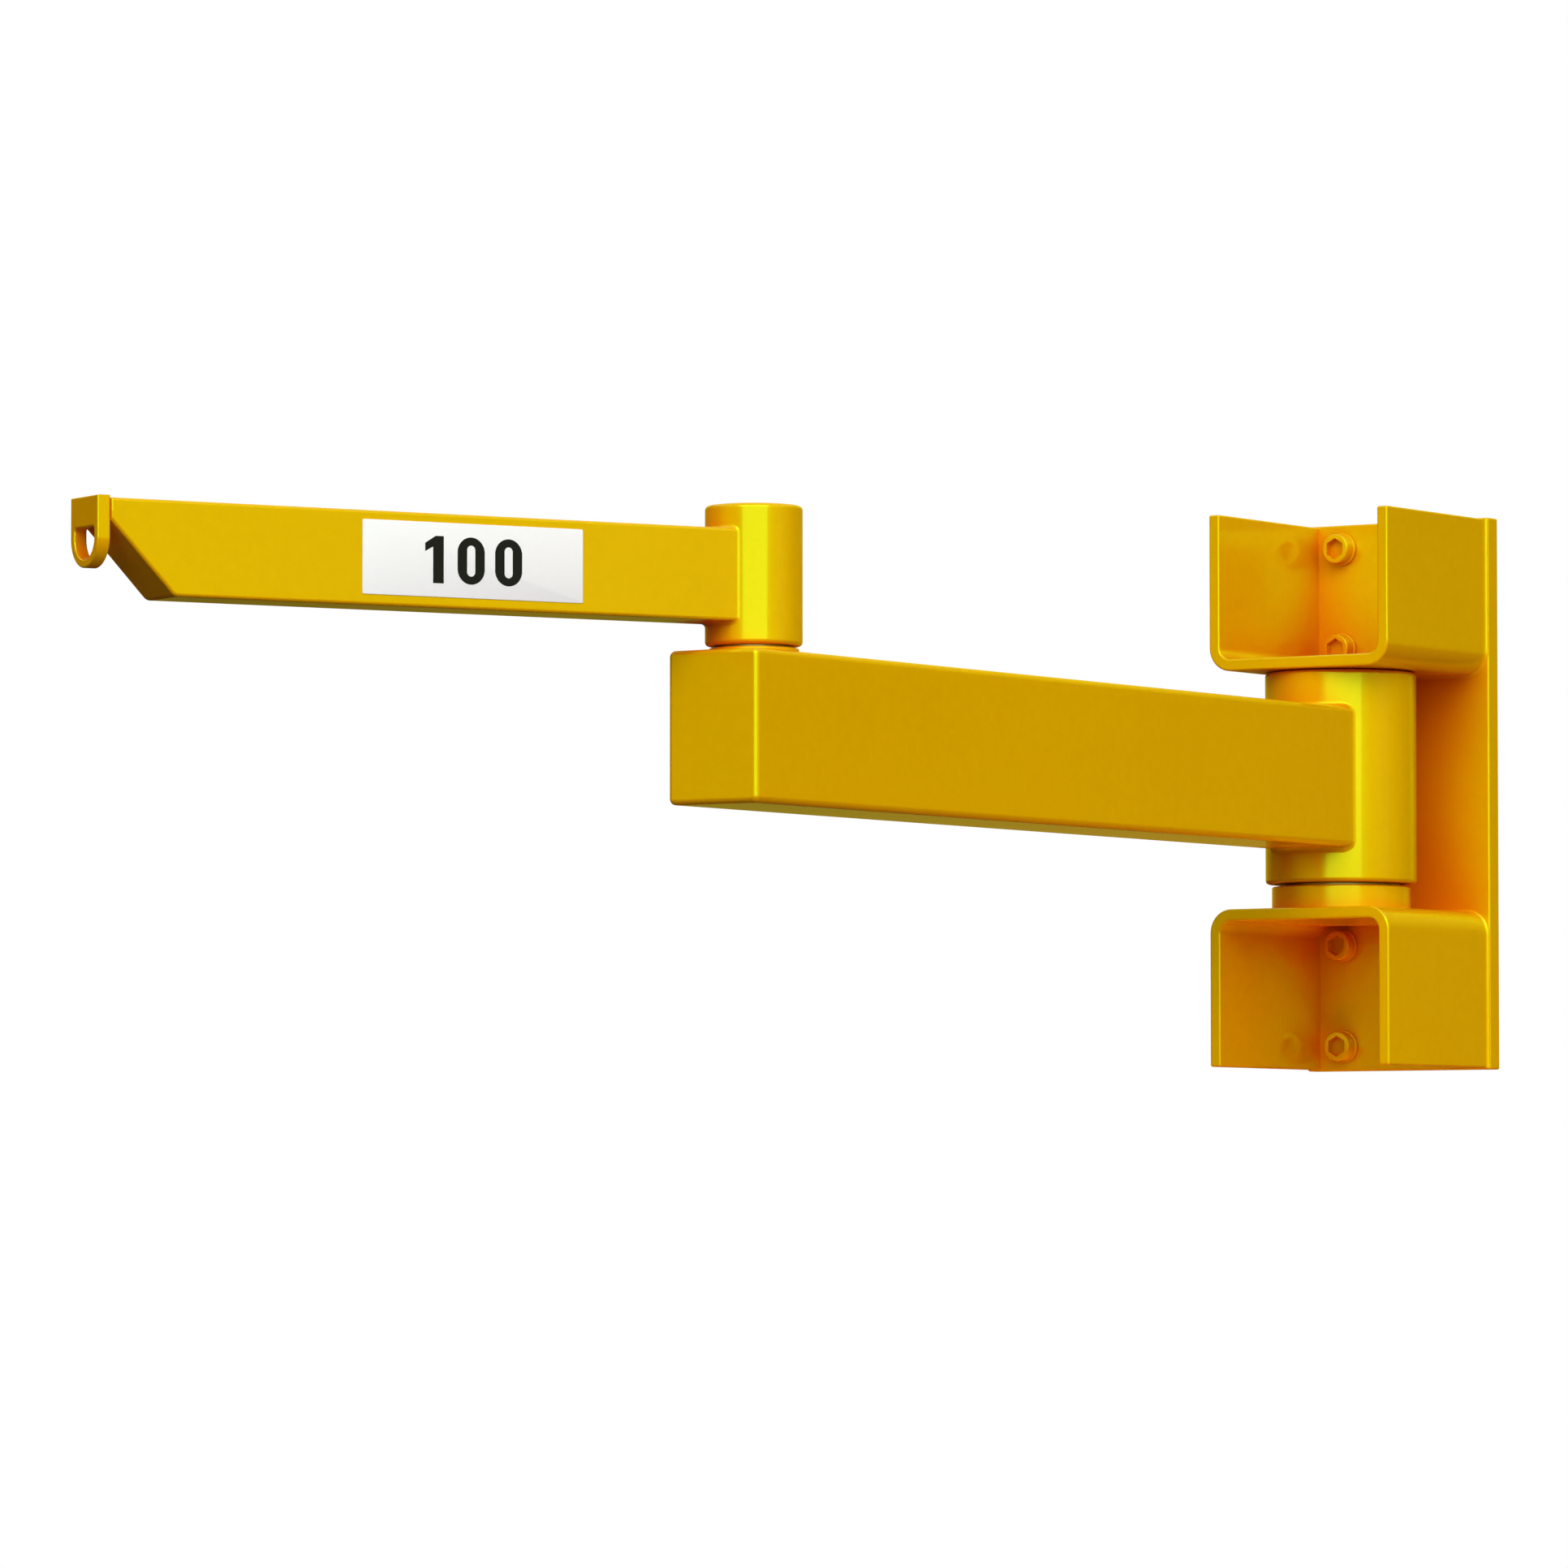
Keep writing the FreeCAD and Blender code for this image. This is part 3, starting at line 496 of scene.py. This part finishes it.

# %% [markdown]
# The yellow itself: on the open faces it is a warm yellow. In corners and inside the channels the
# base colour deepens to orange. This is painted shade: it stands in for the darker light that
# bounces from paint to paint there. Painting those places by hand would take a mask for every
# piece, while the Ambient Occlusion node measures how closed in a point is. The powder also settles
# less evenly there, so the same measure dulls the gloss. The gloss is tinted towards yellow on its
# own socket, so that the highlights stay lemon yellow and don't turn white.

# %% Yellow paint
PAINT_THICK = (0.88, 0.42, 0.0, 1)
PAINT_THIN = (0.92, 0.45, 0.0, 1)
# painted shade: the orange that the base colour deepens to in corners and channels
PAINTED_CORNER_SHADE = (0.84, 0.17, 0.0, 1)
CORNER_REACH = 0.1
CORNER_SAMPLES = 12
SHUT_IN, IN_THE_OPEN = 0.35, 0.8
ROUGH_IN_THE_OPEN, ROUGH_IN_CORNERS = 0.12, 0.36
GLOSS_TINT = (0.4, 1.0, 0.03, 1)
PAINT_IOR = 1.7
PAINT_CLOUDS, PAINT_MOTTLES = 5.0, 90.0
PEEL_DIMPLES, PEEL_WAVES = 280.0, 80.0
PEEL_STRENGTH, PEEL_DEPTH = 0.06, 0.2 * MM


def use_group(tree, group, place, **values):
    """One use of a node group in a material."""
    node = add_node(tree, "ShaderNodeGroup", place)
    node.node_tree = group
    for name, value in values.items():
        node.inputs[name].default_value = value
    return node


def make_yellow_paint():
    """Powder coat, glossy and faintly dimpled, with painted shade deepening it to orange in corners.
    """
    material, tree, out = new_material("yellow_powder_coat")
    paint = add_node(tree, "ShaderNodeBsdfPrincipled", (300, 0), IOR=PAINT_IOR)
    paint.inputs["Specular IOR Level"].default_value = 1.0
    paint.inputs["Specular Tint"].default_value = GLOSS_TINT
    colour = use_group(
        tree, uneven_colour, (-300, 100), Thick=PAINT_THICK, Thin=PAINT_THIN,
        Clouds=PAINT_CLOUDS, Mottles=PAINT_MOTTLES,
    )
    peel = use_group(tree, orange_peel, (-300, -200), Dimples=PEEL_DIMPLES, Waves=PEEL_WAVES)
    bump = add_node(tree, "ShaderNodeBump", (0, -200), Strength=PEEL_STRENGTH, Distance=PEEL_DEPTH)
    near_by = add_node(
        tree, "ShaderNodeAmbientOcclusion", (-600, 400), samples=CORNER_SAMPLES, Distance=CORNER_REACH,
    )
    open_air = add_node(tree, "ShaderNodeMapRange", (-300, 400), interpolation_type="SMOOTHSTEP")
    open_air.inputs["From Min"].default_value = SHUT_IN
    open_air.inputs["From Max"].default_value = IN_THE_OPEN
    dulling = add_node(tree, "ShaderNodeMapRange", (0, 400))
    dulling.inputs["To Min"].default_value = ROUGH_IN_CORNERS
    dulling.inputs["To Max"].default_value = ROUGH_IN_THE_OPEN
    tree.links.new(open_air.outputs["Result"], dulling.inputs["Value"])
    tree.links.new(dulling.outputs["Result"], paint.inputs["Roughness"])
    # painted shade: the base colour deepens to orange where the Ambient Occlusion node finds a point
    # closed in
    painted_shade = add_node(tree, "ShaderNodeMix", (0, 200), data_type="RGBA")
    painted_shade.inputs["A"].default_value = PAINTED_CORNER_SHADE
    tree.links.new(near_by.outputs["AO"], open_air.inputs["Value"])
    tree.links.new(open_air.outputs["Result"], painted_shade.inputs["Factor"])
    tree.links.new(colour.outputs["Colour"], painted_shade.inputs["B"])
    tree.links.new(painted_shade.outputs["Result"], paint.inputs["Base Color"])
    tree.links.new(peel.outputs["Height"], bump.inputs["Height"])
    tree.links.new(bump.outputs["Normal"], paint.inputs["Normal"])
    tree.links.new(paint.outputs[0], out.inputs["Surface"])
    return material


yellow_paint = make_yellow_paint()
print("made", yellow_paint.name)

# %% [markdown]
# The pins and the bearing rings aren't painted, because they have to slide. The pins are ground
# steel, and the washers and bushes are bronze. Both show fine rings round the axis that they were
# turned on, so their grain is drawn from the distance to the joint's axis. A pin's ends lie flush
# with the bracket and were painted over with it: the material tells them by their normals.

# %% Turned metals
STEEL = (0.55, 0.55, 0.54)
STEEL_ROUGHNESS = 0.3
BRONZE = (0.42, 0.24, 0.09)
BRONZE_ROUGHNESS = 0.38
GRAIN_FINENESS = 900.0
GRAIN_SHADE = 0.8
GRAIN_ROUGHNESS = 0.08
END_FACES_ABOVE = 0.7


def make_turned_metal(name, colour, roughness, axis, painted_ends):
    """Metal turned on a lathe about an upright axis at that place, bare or with painted ends."""
    material, tree, out = new_material(name)
    metal = add_node(tree, "ShaderNodeBsdfPrincipled", (900, 0), Metallic=1.0)
    out.location.x = 1200
    place = add_node(tree, "ShaderNodeTexCoord", (-900, 0))
    centre = add_node(tree, "ShaderNodeMapping", (-700, 0))
    centre.inputs["Location"].default_value = (-axis[0], -axis[1], 0)
    apart = add_node(tree, "ShaderNodeVectorMath", (-500, 100), operation="MULTIPLY")
    apart.inputs[1].default_value = (1, 1, 0)
    reach = add_node(tree, "ShaderNodeVectorMath", (-300, 100), operation="LENGTH")
    upright = add_node(tree, "ShaderNodeSeparateXYZ", (-500, -100))
    ring = add_node(tree, "ShaderNodeCombineXYZ", (-100, 0))
    grain = add_node(tree, "ShaderNodeTexNoise", (100, 200), Scale=GRAIN_FINENESS, Detail=3.0)
    tree.links.new(place.outputs["Object"], centre.inputs["Vector"])
    tree.links.new(centre.outputs["Vector"], apart.inputs[0])
    tree.links.new(apart.outputs["Vector"], reach.inputs[0])
    tree.links.new(centre.outputs["Vector"], upright.inputs["Vector"])
    tree.links.new(reach.outputs["Value"], ring.inputs["X"])
    tree.links.new(upright.outputs["Z"], ring.inputs["Z"])
    tree.links.new(ring.outputs["Vector"], grain.inputs["Vector"])
    tone = add_node(tree, "ShaderNodeMix", (300, 300), data_type="RGBA")
    tone.inputs["A"].default_value = (*[c * GRAIN_SHADE for c in colour], 1)
    tone.inputs["B"].default_value = (*colour, 1)
    tree.links.new(grain.outputs["Fac"], tone.inputs["Factor"])
    shine = add_node(tree, "ShaderNodeMapRange", (300, -300))
    shine.inputs["To Min"].default_value = roughness - GRAIN_ROUGHNESS
    shine.inputs["To Max"].default_value = roughness + GRAIN_ROUGHNESS
    tree.links.new(grain.outputs["Fac"], shine.inputs["Value"])
    tree.links.new(tone.outputs["Result"], metal.inputs["Base Color"])
    tree.links.new(shine.outputs["Result"], metal.inputs["Roughness"])
    tree.links.new(metal.outputs[0], out.inputs["Surface"])
    if painted_ends:
        facing = add_node(tree, "ShaderNodeNewGeometry", (300, 700))
        rise = add_node(tree, "ShaderNodeSeparateXYZ", (500, 700))
        tree.links.new(facing.outputs["Normal"], rise.inputs["Vector"])
        steep = add_math(tree, "ABSOLUTE", (500, 550), rise.outputs["Z"])
        is_end = add_math(tree, "GREATER_THAN", (700, 550), steep, END_FACES_ABOVE)
        cover = add_node(tree, "ShaderNodeMix", (700, 300), data_type="RGBA")
        cover.inputs["B"].default_value = PAINT_THICK
        tree.links.new(is_end, cover.inputs["Factor"])
        tree.links.new(tone.outputs["Result"], cover.inputs["A"])
        tree.links.new(cover.outputs["Result"], metal.inputs["Base Color"])
        bare = add_math(tree, "SUBTRACT", (700, 100), 1.0, is_end)
        tree.links.new(bare, metal.inputs["Metallic"])
        gloss = add_node(tree, "ShaderNodeMix", (700, -150), data_type="FLOAT")
        gloss.inputs["B"].default_value = ROUGH_IN_THE_OPEN
        tree.links.new(is_end, gloss.inputs["Factor"])
        tree.links.new(shine.outputs["Result"], gloss.inputs["A"])
        tree.links.new(gloss.outputs["Result"], metal.inputs["Roughness"])
        metal.inputs["Specular IOR Level"].default_value = 1.0
        metal.inputs["Specular Tint"].default_value = GLOSS_TINT
    return material


axes = {joint["name"]: joint["pos_m"] for joint in frame["joints"]}
metals = {}
for joint_name, axis in axes.items():
    metals[joint_name, "bright_steel"] = make_turned_metal(
        "ground_steel_" + joint_name, STEEL, STEEL_ROUGHNESS, axis, painted_ends=True
    )
    metals[joint_name, "bronze"] = make_turned_metal(
        "turned_bronze_" + joint_name, BRONZE, BRONZE_ROUGHNESS, axis, painted_ends=False
    )
print("metals:", [m.name for m in metals.values()])

# %% [markdown]
# Every CAD solid comes with a flat colour, named after the material slot in the record. Here
# each solid gets its real finish in place of that colour. Pins, washers and bushes turn about the
# joint that they belong to, which their own place in plan shows.

# %% Finish the CAD solids


def nearest_joint(name):
    """The joint whose axis stands nearest to the middle of that solid."""
    low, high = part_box(name)
    middle = (low + high) / 2
    return min(axes, key=lambda j: math.hypot(middle.x - axes[j][0], middle.y - axes[j][1]))


for name, node in nodes.items():
    for slot in node.material_slots:
        if slot.material.name.startswith("yellow_paint"):
            slot.material = yellow_paint
        else:
            slot.material = metals[nearest_joint(name), slot.material.name.split(".")[0]]
print({name: [s.material.name for s in node.material_slots] for name, node in nodes.items()})

# %% [markdown]
# Eight M20 socket head screws hold the back plate to the wall, each with a ring under its head.
# They were painted together with the bracket. A screw could be stacked from primitives, but its
# head is one turned piece with a hexagon sunk into it, so it is made as one closed skin: a ring of
# edges is extruded into the head, bridged to a hexagon, and the hexagon is pushed in.

# %% Socket head screw
PLATE_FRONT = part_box("back_plate")[0].y
HOLE_ACROSS = 64 * MM
HOLE_HEIGHTS = (255 * MM, 152 * MM, -152 * MM, -255 * MM)
RING_THICKNESS = 4 * MM
RING_OUTER = 16.8 * MM
RING_INNER = 10.6 * MM
RING_GAP = 1.2 * MM
RING_EASING = 0.5 * MM
RING_STEPS = 64
RING_SPLIT_AT = math.radians(200)
HEAD_RADIUS = 15 * MM
HEAD_HEIGHT = 12 * MM
HEAD_SIDES = 48
HEAD_ROUNDING = 1.2 * MM
SHANK_RADIUS = 10 * MM
SHANK_LENGTH = 20 * MM
SOCKET_ACROSS_FLATS = 19 * MM
SOCKET_DEPTH = 8 * MM
SOCKET_SIDES = 6
SHARP_EDGE = math.radians(60)


def extrude_loop(bm, edges, move=(0, 0, 0), scale=1.0):
    """Extrudes a ring of edges, moves and scales the new ring, and returns its edges."""
    made = bmesh.ops.extrude_edge_only(bm, edges=edges)["geom"]
    verts = [g for g in made if isinstance(g, bmesh.types.BMVert)]
    bmesh.ops.scale(bm, vec=(scale, scale, 1), verts=verts)
    bmesh.ops.translate(bm, vec=move, verts=verts)
    return [g for g in made if isinstance(g, bmesh.types.BMEdge) and all(v in verts for v in g.verts)]


def ring_of_edges(bm, sides, radius, height, turn=0.0):
    """A ring of edges round the upright axis."""
    verts = bmesh.ops.create_circle(bm, segments=sides, radius=radius)["verts"]
    bmesh.ops.rotate(bm, verts=verts, matrix=Matrix.Rotation(turn, 3, "Z"))
    bmesh.ops.translate(bm, verts=verts, vec=(0, 0, height))
    return [e for e in bm.edges if e.verts[0] in verts and e.verts[1] in verts]


def round_off(bm, edges, radius, steps):
    """Rounds those edges."""
    bmesh.ops.bevel(
        bm, geom=edges, offset=radius, segments=steps, affect="EDGES", profile=0.5, material=-1,
        clamp_overlap=True,
    )


def face_the_room(bm, place):
    """Lays an upright shape down so that its top points away from the wall, and moves it there."""
    bmesh.ops.rotate(bm, verts=bm.verts, matrix=Matrix.Rotation(math.radians(90), 3, "X"))
    bmesh.ops.translate(bm, verts=bm.verts, vec=place)


def finish_piece(bm, name, material, body, smooth_below=35):
    """Turns a bmesh into a named piece with its material, body and slot."""
    bmesh.ops.recalc_face_normals(bm, faces=bm.faces)
    mesh = bpy.data.meshes.new(name)
    for face in bm.faces:
        face.smooth = True
    for edge in bm.edges:
        edge.smooth = edge.calc_face_angle(math.pi) < math.radians(smooth_below)
    bm.to_mesh(mesh)
    bm.free()
    mesh.materials.append(material)
    piece = add_object(name, mesh)
    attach(piece, body)
    return piece


def make_screw(name, place):
    """One socket head screw with its head on the ring and its shank in the plate."""
    bm = bmesh.new()
    under = ring_of_edges(bm, HEAD_SIDES, HEAD_RADIUS, RING_THICKNESS)
    rim = extrude_loop(bm, under, move=(0, 0, HEAD_HEIGHT))
    neck = extrude_loop(bm, under, scale=SHANK_RADIUS / HEAD_RADIUS)
    tip = extrude_loop(bm, neck, move=(0, 0, -SHANK_LENGTH))
    bmesh.ops.edgeloop_fill(bm, edges=tip)
    top = RING_THICKNESS + HEAD_HEIGHT
    mouth = ring_of_edges(bm, SOCKET_SIDES, SOCKET_ACROSS_FLATS / math.sqrt(3), top)
    cuts = HEAD_SIDES // SOCKET_SIDES - 1
    split = bmesh.ops.subdivide_edges(bm, edges=mouth, cuts=cuts)["geom_split"]
    mouth = [g for g in split if isinstance(g, bmesh.types.BMEdge)]
    bmesh.ops.bridge_loops(bm, edges=rim + mouth)
    bottom = extrude_loop(bm, mouth, move=(0, 0, -SOCKET_DEPTH))
    bmesh.ops.edgeloop_fill(bm, edges=bottom)
    round_off(bm, rim, HEAD_ROUNDING, steps=4)
    face_the_room(bm, place)
    return finish_piece(bm, name, yellow_paint, "wall_bracket")


def make_lock_ring(name, place):
    """One spring lock ring: a square section spun round the screw, with a gap where it is split."""
    bm = bmesh.new()
    section = bmesh.ops.create_grid(bm, x_segments=1, y_segments=1, size=0.5)["verts"]
    bmesh.ops.scale(bm, verts=section, vec=(RING_OUTER - RING_INNER, RING_THICKNESS, 1))
    bmesh.ops.rotate(bm, verts=section, matrix=Matrix.Rotation(math.radians(90), 3, "X"))
    bmesh.ops.translate(bm, verts=section, vec=((RING_OUTER + RING_INNER) / 2, 0, RING_THICKNESS / 2))
    gap = RING_GAP / RING_OUTER
    bmesh.ops.rotate(bm, verts=section, matrix=Matrix.Rotation(RING_SPLIT_AT + gap / 2, 3, "Z"))
    bmesh.ops.spin(
        bm, geom=bm.verts[:] + bm.edges[:] + bm.faces[:], cent=(0, 0, 0), axis=(0, 0, 1),
        dvec=(0, 0, 0), angle=2 * math.pi - gap, steps=RING_STEPS, use_duplicate=False,
    )
    bmesh.ops.recalc_face_normals(bm, faces=bm.faces)
    sharp = [e for e in bm.edges if e.calc_face_angle(0) > SHARP_EDGE]
    round_off(bm, sharp, RING_EASING, steps=2)
    face_the_room(bm, place)
    return finish_piece(bm, name, yellow_paint, "wall_bracket")


for row, hole_height in enumerate(HOLE_HEIGHTS, start=1):
    for side, across in (("left", -HOLE_ACROSS), ("right", HOLE_ACROSS)):
        spot = (across, PLATE_FRONT, hole_height)
        screw = make_screw(f"fixing_screw_{side}_{row}", spot)
        ring = make_lock_ring(f"lock_ring_{side}_{row}", spot)
print("each screw has", len(screw.data.polygons), "faces and each ring", len(ring.data.polygons))

# %% [markdown]
# The upper arm carries a white plate on its side. It is a thin bevelled sheet, laid on the beam by
# one matrix: its drawing has x to the right and y up, and the matrix turns that to the arm's side.
# The same matrix places the numerals, so both stay on the arm when its angle changes.

# %% Capacity plate
UPPER_ARM_TURN = math.radians(24.7)
ARM_OUT = Vector((-math.sin(UPPER_ARM_TURN), -math.cos(UPPER_ARM_TURN), 0))
ARM_SIDE = Vector((math.cos(UPPER_ARM_TURN), -math.sin(UPPER_ARM_TURN), 0))
BEAM_HALF_WIDTH = 29 * MM
PLATE_FROM, PLATE_TO = 195.3 * MM, 418.2 * MM
PLATE_BOTTOM, PLATE_TOP = 116.3 * MM, 182.5 * MM
PLATE_THICKNESS = 0.8 * MM
PLATE_CORNER = 1.5 * MM
PLATE_EDGE = 0.25 * MM
LACQUER_WHITE = (0.98, 0.985, 1.0, 1)
FINISH_CLOUDS = 12.0
FINISH_SHADE = 0.97
FINISH_ROUGHNESS = 0.05

elbow = Vector(axes["elbow_slew"])
print("elbow axis at", [round(c, 4) for c in elbow])


def arm_side_matrix():
    """Takes a flat drawing, x to the right and y up, to the middle of the plate's place."""
    middle = elbow + ARM_OUT * (PLATE_FROM + PLATE_TO) / 2 + ARM_SIDE * BEAM_HALF_WIDTH
    middle.z = (PLATE_BOTTOM + PLATE_TOP) / 2
    turn = Matrix((-ARM_OUT, (0, 0, 1), ARM_SIDE)).transposed().to_4x4()
    return Matrix.Translation(middle) @ turn


def make_matt_finish(name, colour, roughness, mottles, sheen_level):
    """A printed or lacquered finish with a faint, fine unevenness."""
    material, tree, out = new_material(name)
    surface = add_node(tree, "ShaderNodeBsdfPrincipled", (300, 0))
    surface.inputs["Specular IOR Level"].default_value = sheen_level
    tone = use_group(
        tree, uneven_colour, (-300, 100), Clouds=FINISH_CLOUDS, Mottles=mottles,
        Thick=tuple(c * FINISH_SHADE for c in colour[:3]) + (1,), Thin=colour,
    )
    shine = add_node(tree, "ShaderNodeMapRange", (0, -100))
    shine.inputs["To Min"].default_value = roughness - FINISH_ROUGHNESS
    shine.inputs["To Max"].default_value = roughness + FINISH_ROUGHNESS
    tree.links.new(tone.outputs["Colour"], surface.inputs["Base Color"])
    tree.links.new(tone.outputs["Amount"], shine.inputs["Value"])
    tree.links.new(shine.outputs["Result"], surface.inputs["Roughness"])
    tree.links.new(surface.outputs[0], out.inputs["Surface"])
    return material


def make_capacity_plate():
    """The thin white plate, with eased corners and edges."""
    bm = bmesh.new()
    bmesh.ops.create_cube(bm, size=1.0)
    size = (PLATE_TO - PLATE_FROM, PLATE_TOP - PLATE_BOTTOM, PLATE_THICKNESS)
    bmesh.ops.scale(bm, verts=bm.verts, vec=size)
    bmesh.ops.translate(bm, verts=bm.verts, vec=(0, 0, PLATE_THICKNESS / 2))
    upright = [e for e in bm.edges if abs(e.verts[0].co.z - e.verts[1].co.z) > PLATE_THICKNESS / 2]
    round_off(bm, upright, PLATE_CORNER, steps=4)
    front = [e for e in bm.edges if min(v.co.z for v in e.verts) > PLATE_THICKNESS / 2]
    round_off(bm, front, PLATE_EDGE, steps=2)
    bmesh.ops.transform(bm, verts=bm.verts, matrix=arm_side_matrix())
    lacquer = make_matt_finish(
        "white_lacquer", LACQUER_WHITE, roughness=0.4, mottles=150.0, sheen_level=0.35
    )
    return finish_piece(bm, "capacity_plate", lacquer, "upper_arm")


plate = make_capacity_plate()
print(plate.name, [round((PLATE_TO - PLATE_FROM) / MM), round((PLATE_TOP - PLATE_BOTTOM) / MM)], "mm")

# %% [markdown]
# Only plain numerals are printed on the plate. A text object would be quicker, but Blender's own
# typeface draws its 1 as a bare bar and can't be made as bold as sign numerals are. So the two
# digits are drawn: a circle whose halves are pulled apart is the outline of a 0, and two of them,
# bridged, make the digit. The 1 is a single face. Both are then given the ink's thickness.

# %% Numerals
INK_COLOUR = (0.008, 0.008, 0.008, 1)
INK_THICKNESS = 0.12 * MM
DIGIT_HEIGHT = 42 * MM
DIGIT_PLACES = (-41 * MM, -2.6 * MM, 35.4 * MM)
ZERO_WIDTH = 27.5 * MM
ZERO_SIDE = 9.6 * MM
ZERO_END = 7.2 * MM
ONE_OUTLINE = ((0, -21), (10.7, -21), (10.7, 21), (2.5, 21), (-8, 14.5), (-8, 7), (0, 11.5))
CIRCLE_STEPS = 48


def draw_zero(bm, middle):
    """A 0: the band between two outlines with straight sides and round ends."""
    band = []
    half_step = math.pi / CIRCLE_STEPS
    inside = (ZERO_WIDTH - 2 * ZERO_SIDE, DIGIT_HEIGHT - 2 * ZERO_END)
    for width, height in ((ZERO_WIDTH, DIGIT_HEIGHT), inside):
        outline = ring_of_edges(bm, CIRCLE_STEPS, width / 2, 0, turn=half_step)
        corners = {v for edge in outline for v in edge.verts}
        for way in (-1, 1):
            half = [v for v in corners if v.co.y * way > 0]
            bmesh.ops.translate(bm, verts=half, vec=(middle, way * (height - width) / 2, 0))
        band += outline
    bmesh.ops.bridge_loops(bm, edges=band)


def draw_one(bm, stem_side):
    """A 1: a stem with a slanted flag."""
    bm.faces.new([bm.verts.new((stem_side + x * MM, y * MM, 0)) for x, y in ONE_OUTLINE])


def make_numerals():
    """The number 100, printed in ink on the plate."""
    bm = bmesh.new()
    draw_one(bm, DIGIT_PLACES[0])
    draw_zero(bm, DIGIT_PLACES[1])
    draw_zero(bm, DIGIT_PLACES[2])
    bmesh.ops.translate(bm, verts=bm.verts, vec=(0, 0, PLATE_THICKNESS))
    print_faces = bm.faces[:]
    raised = bmesh.ops.extrude_face_region(bm, geom=print_faces, use_keep_orig=True)["geom"]
    raised = [g for g in raised if isinstance(g, bmesh.types.BMVert)]
    bmesh.ops.translate(bm, verts=raised, vec=(0, 0, INK_THICKNESS))
    bmesh.ops.transform(bm, verts=bm.verts, matrix=arm_side_matrix())
    ink = make_matt_finish("black_ink", INK_COLOUR, roughness=0.6, mottles=200.0, sheen_level=0.12)
    return finish_piece(bm, "capacity_numerals", ink, "upper_arm")


numerals = make_numerals()
print(numerals.name, "with", len(numerals.data.polygons), "faces")
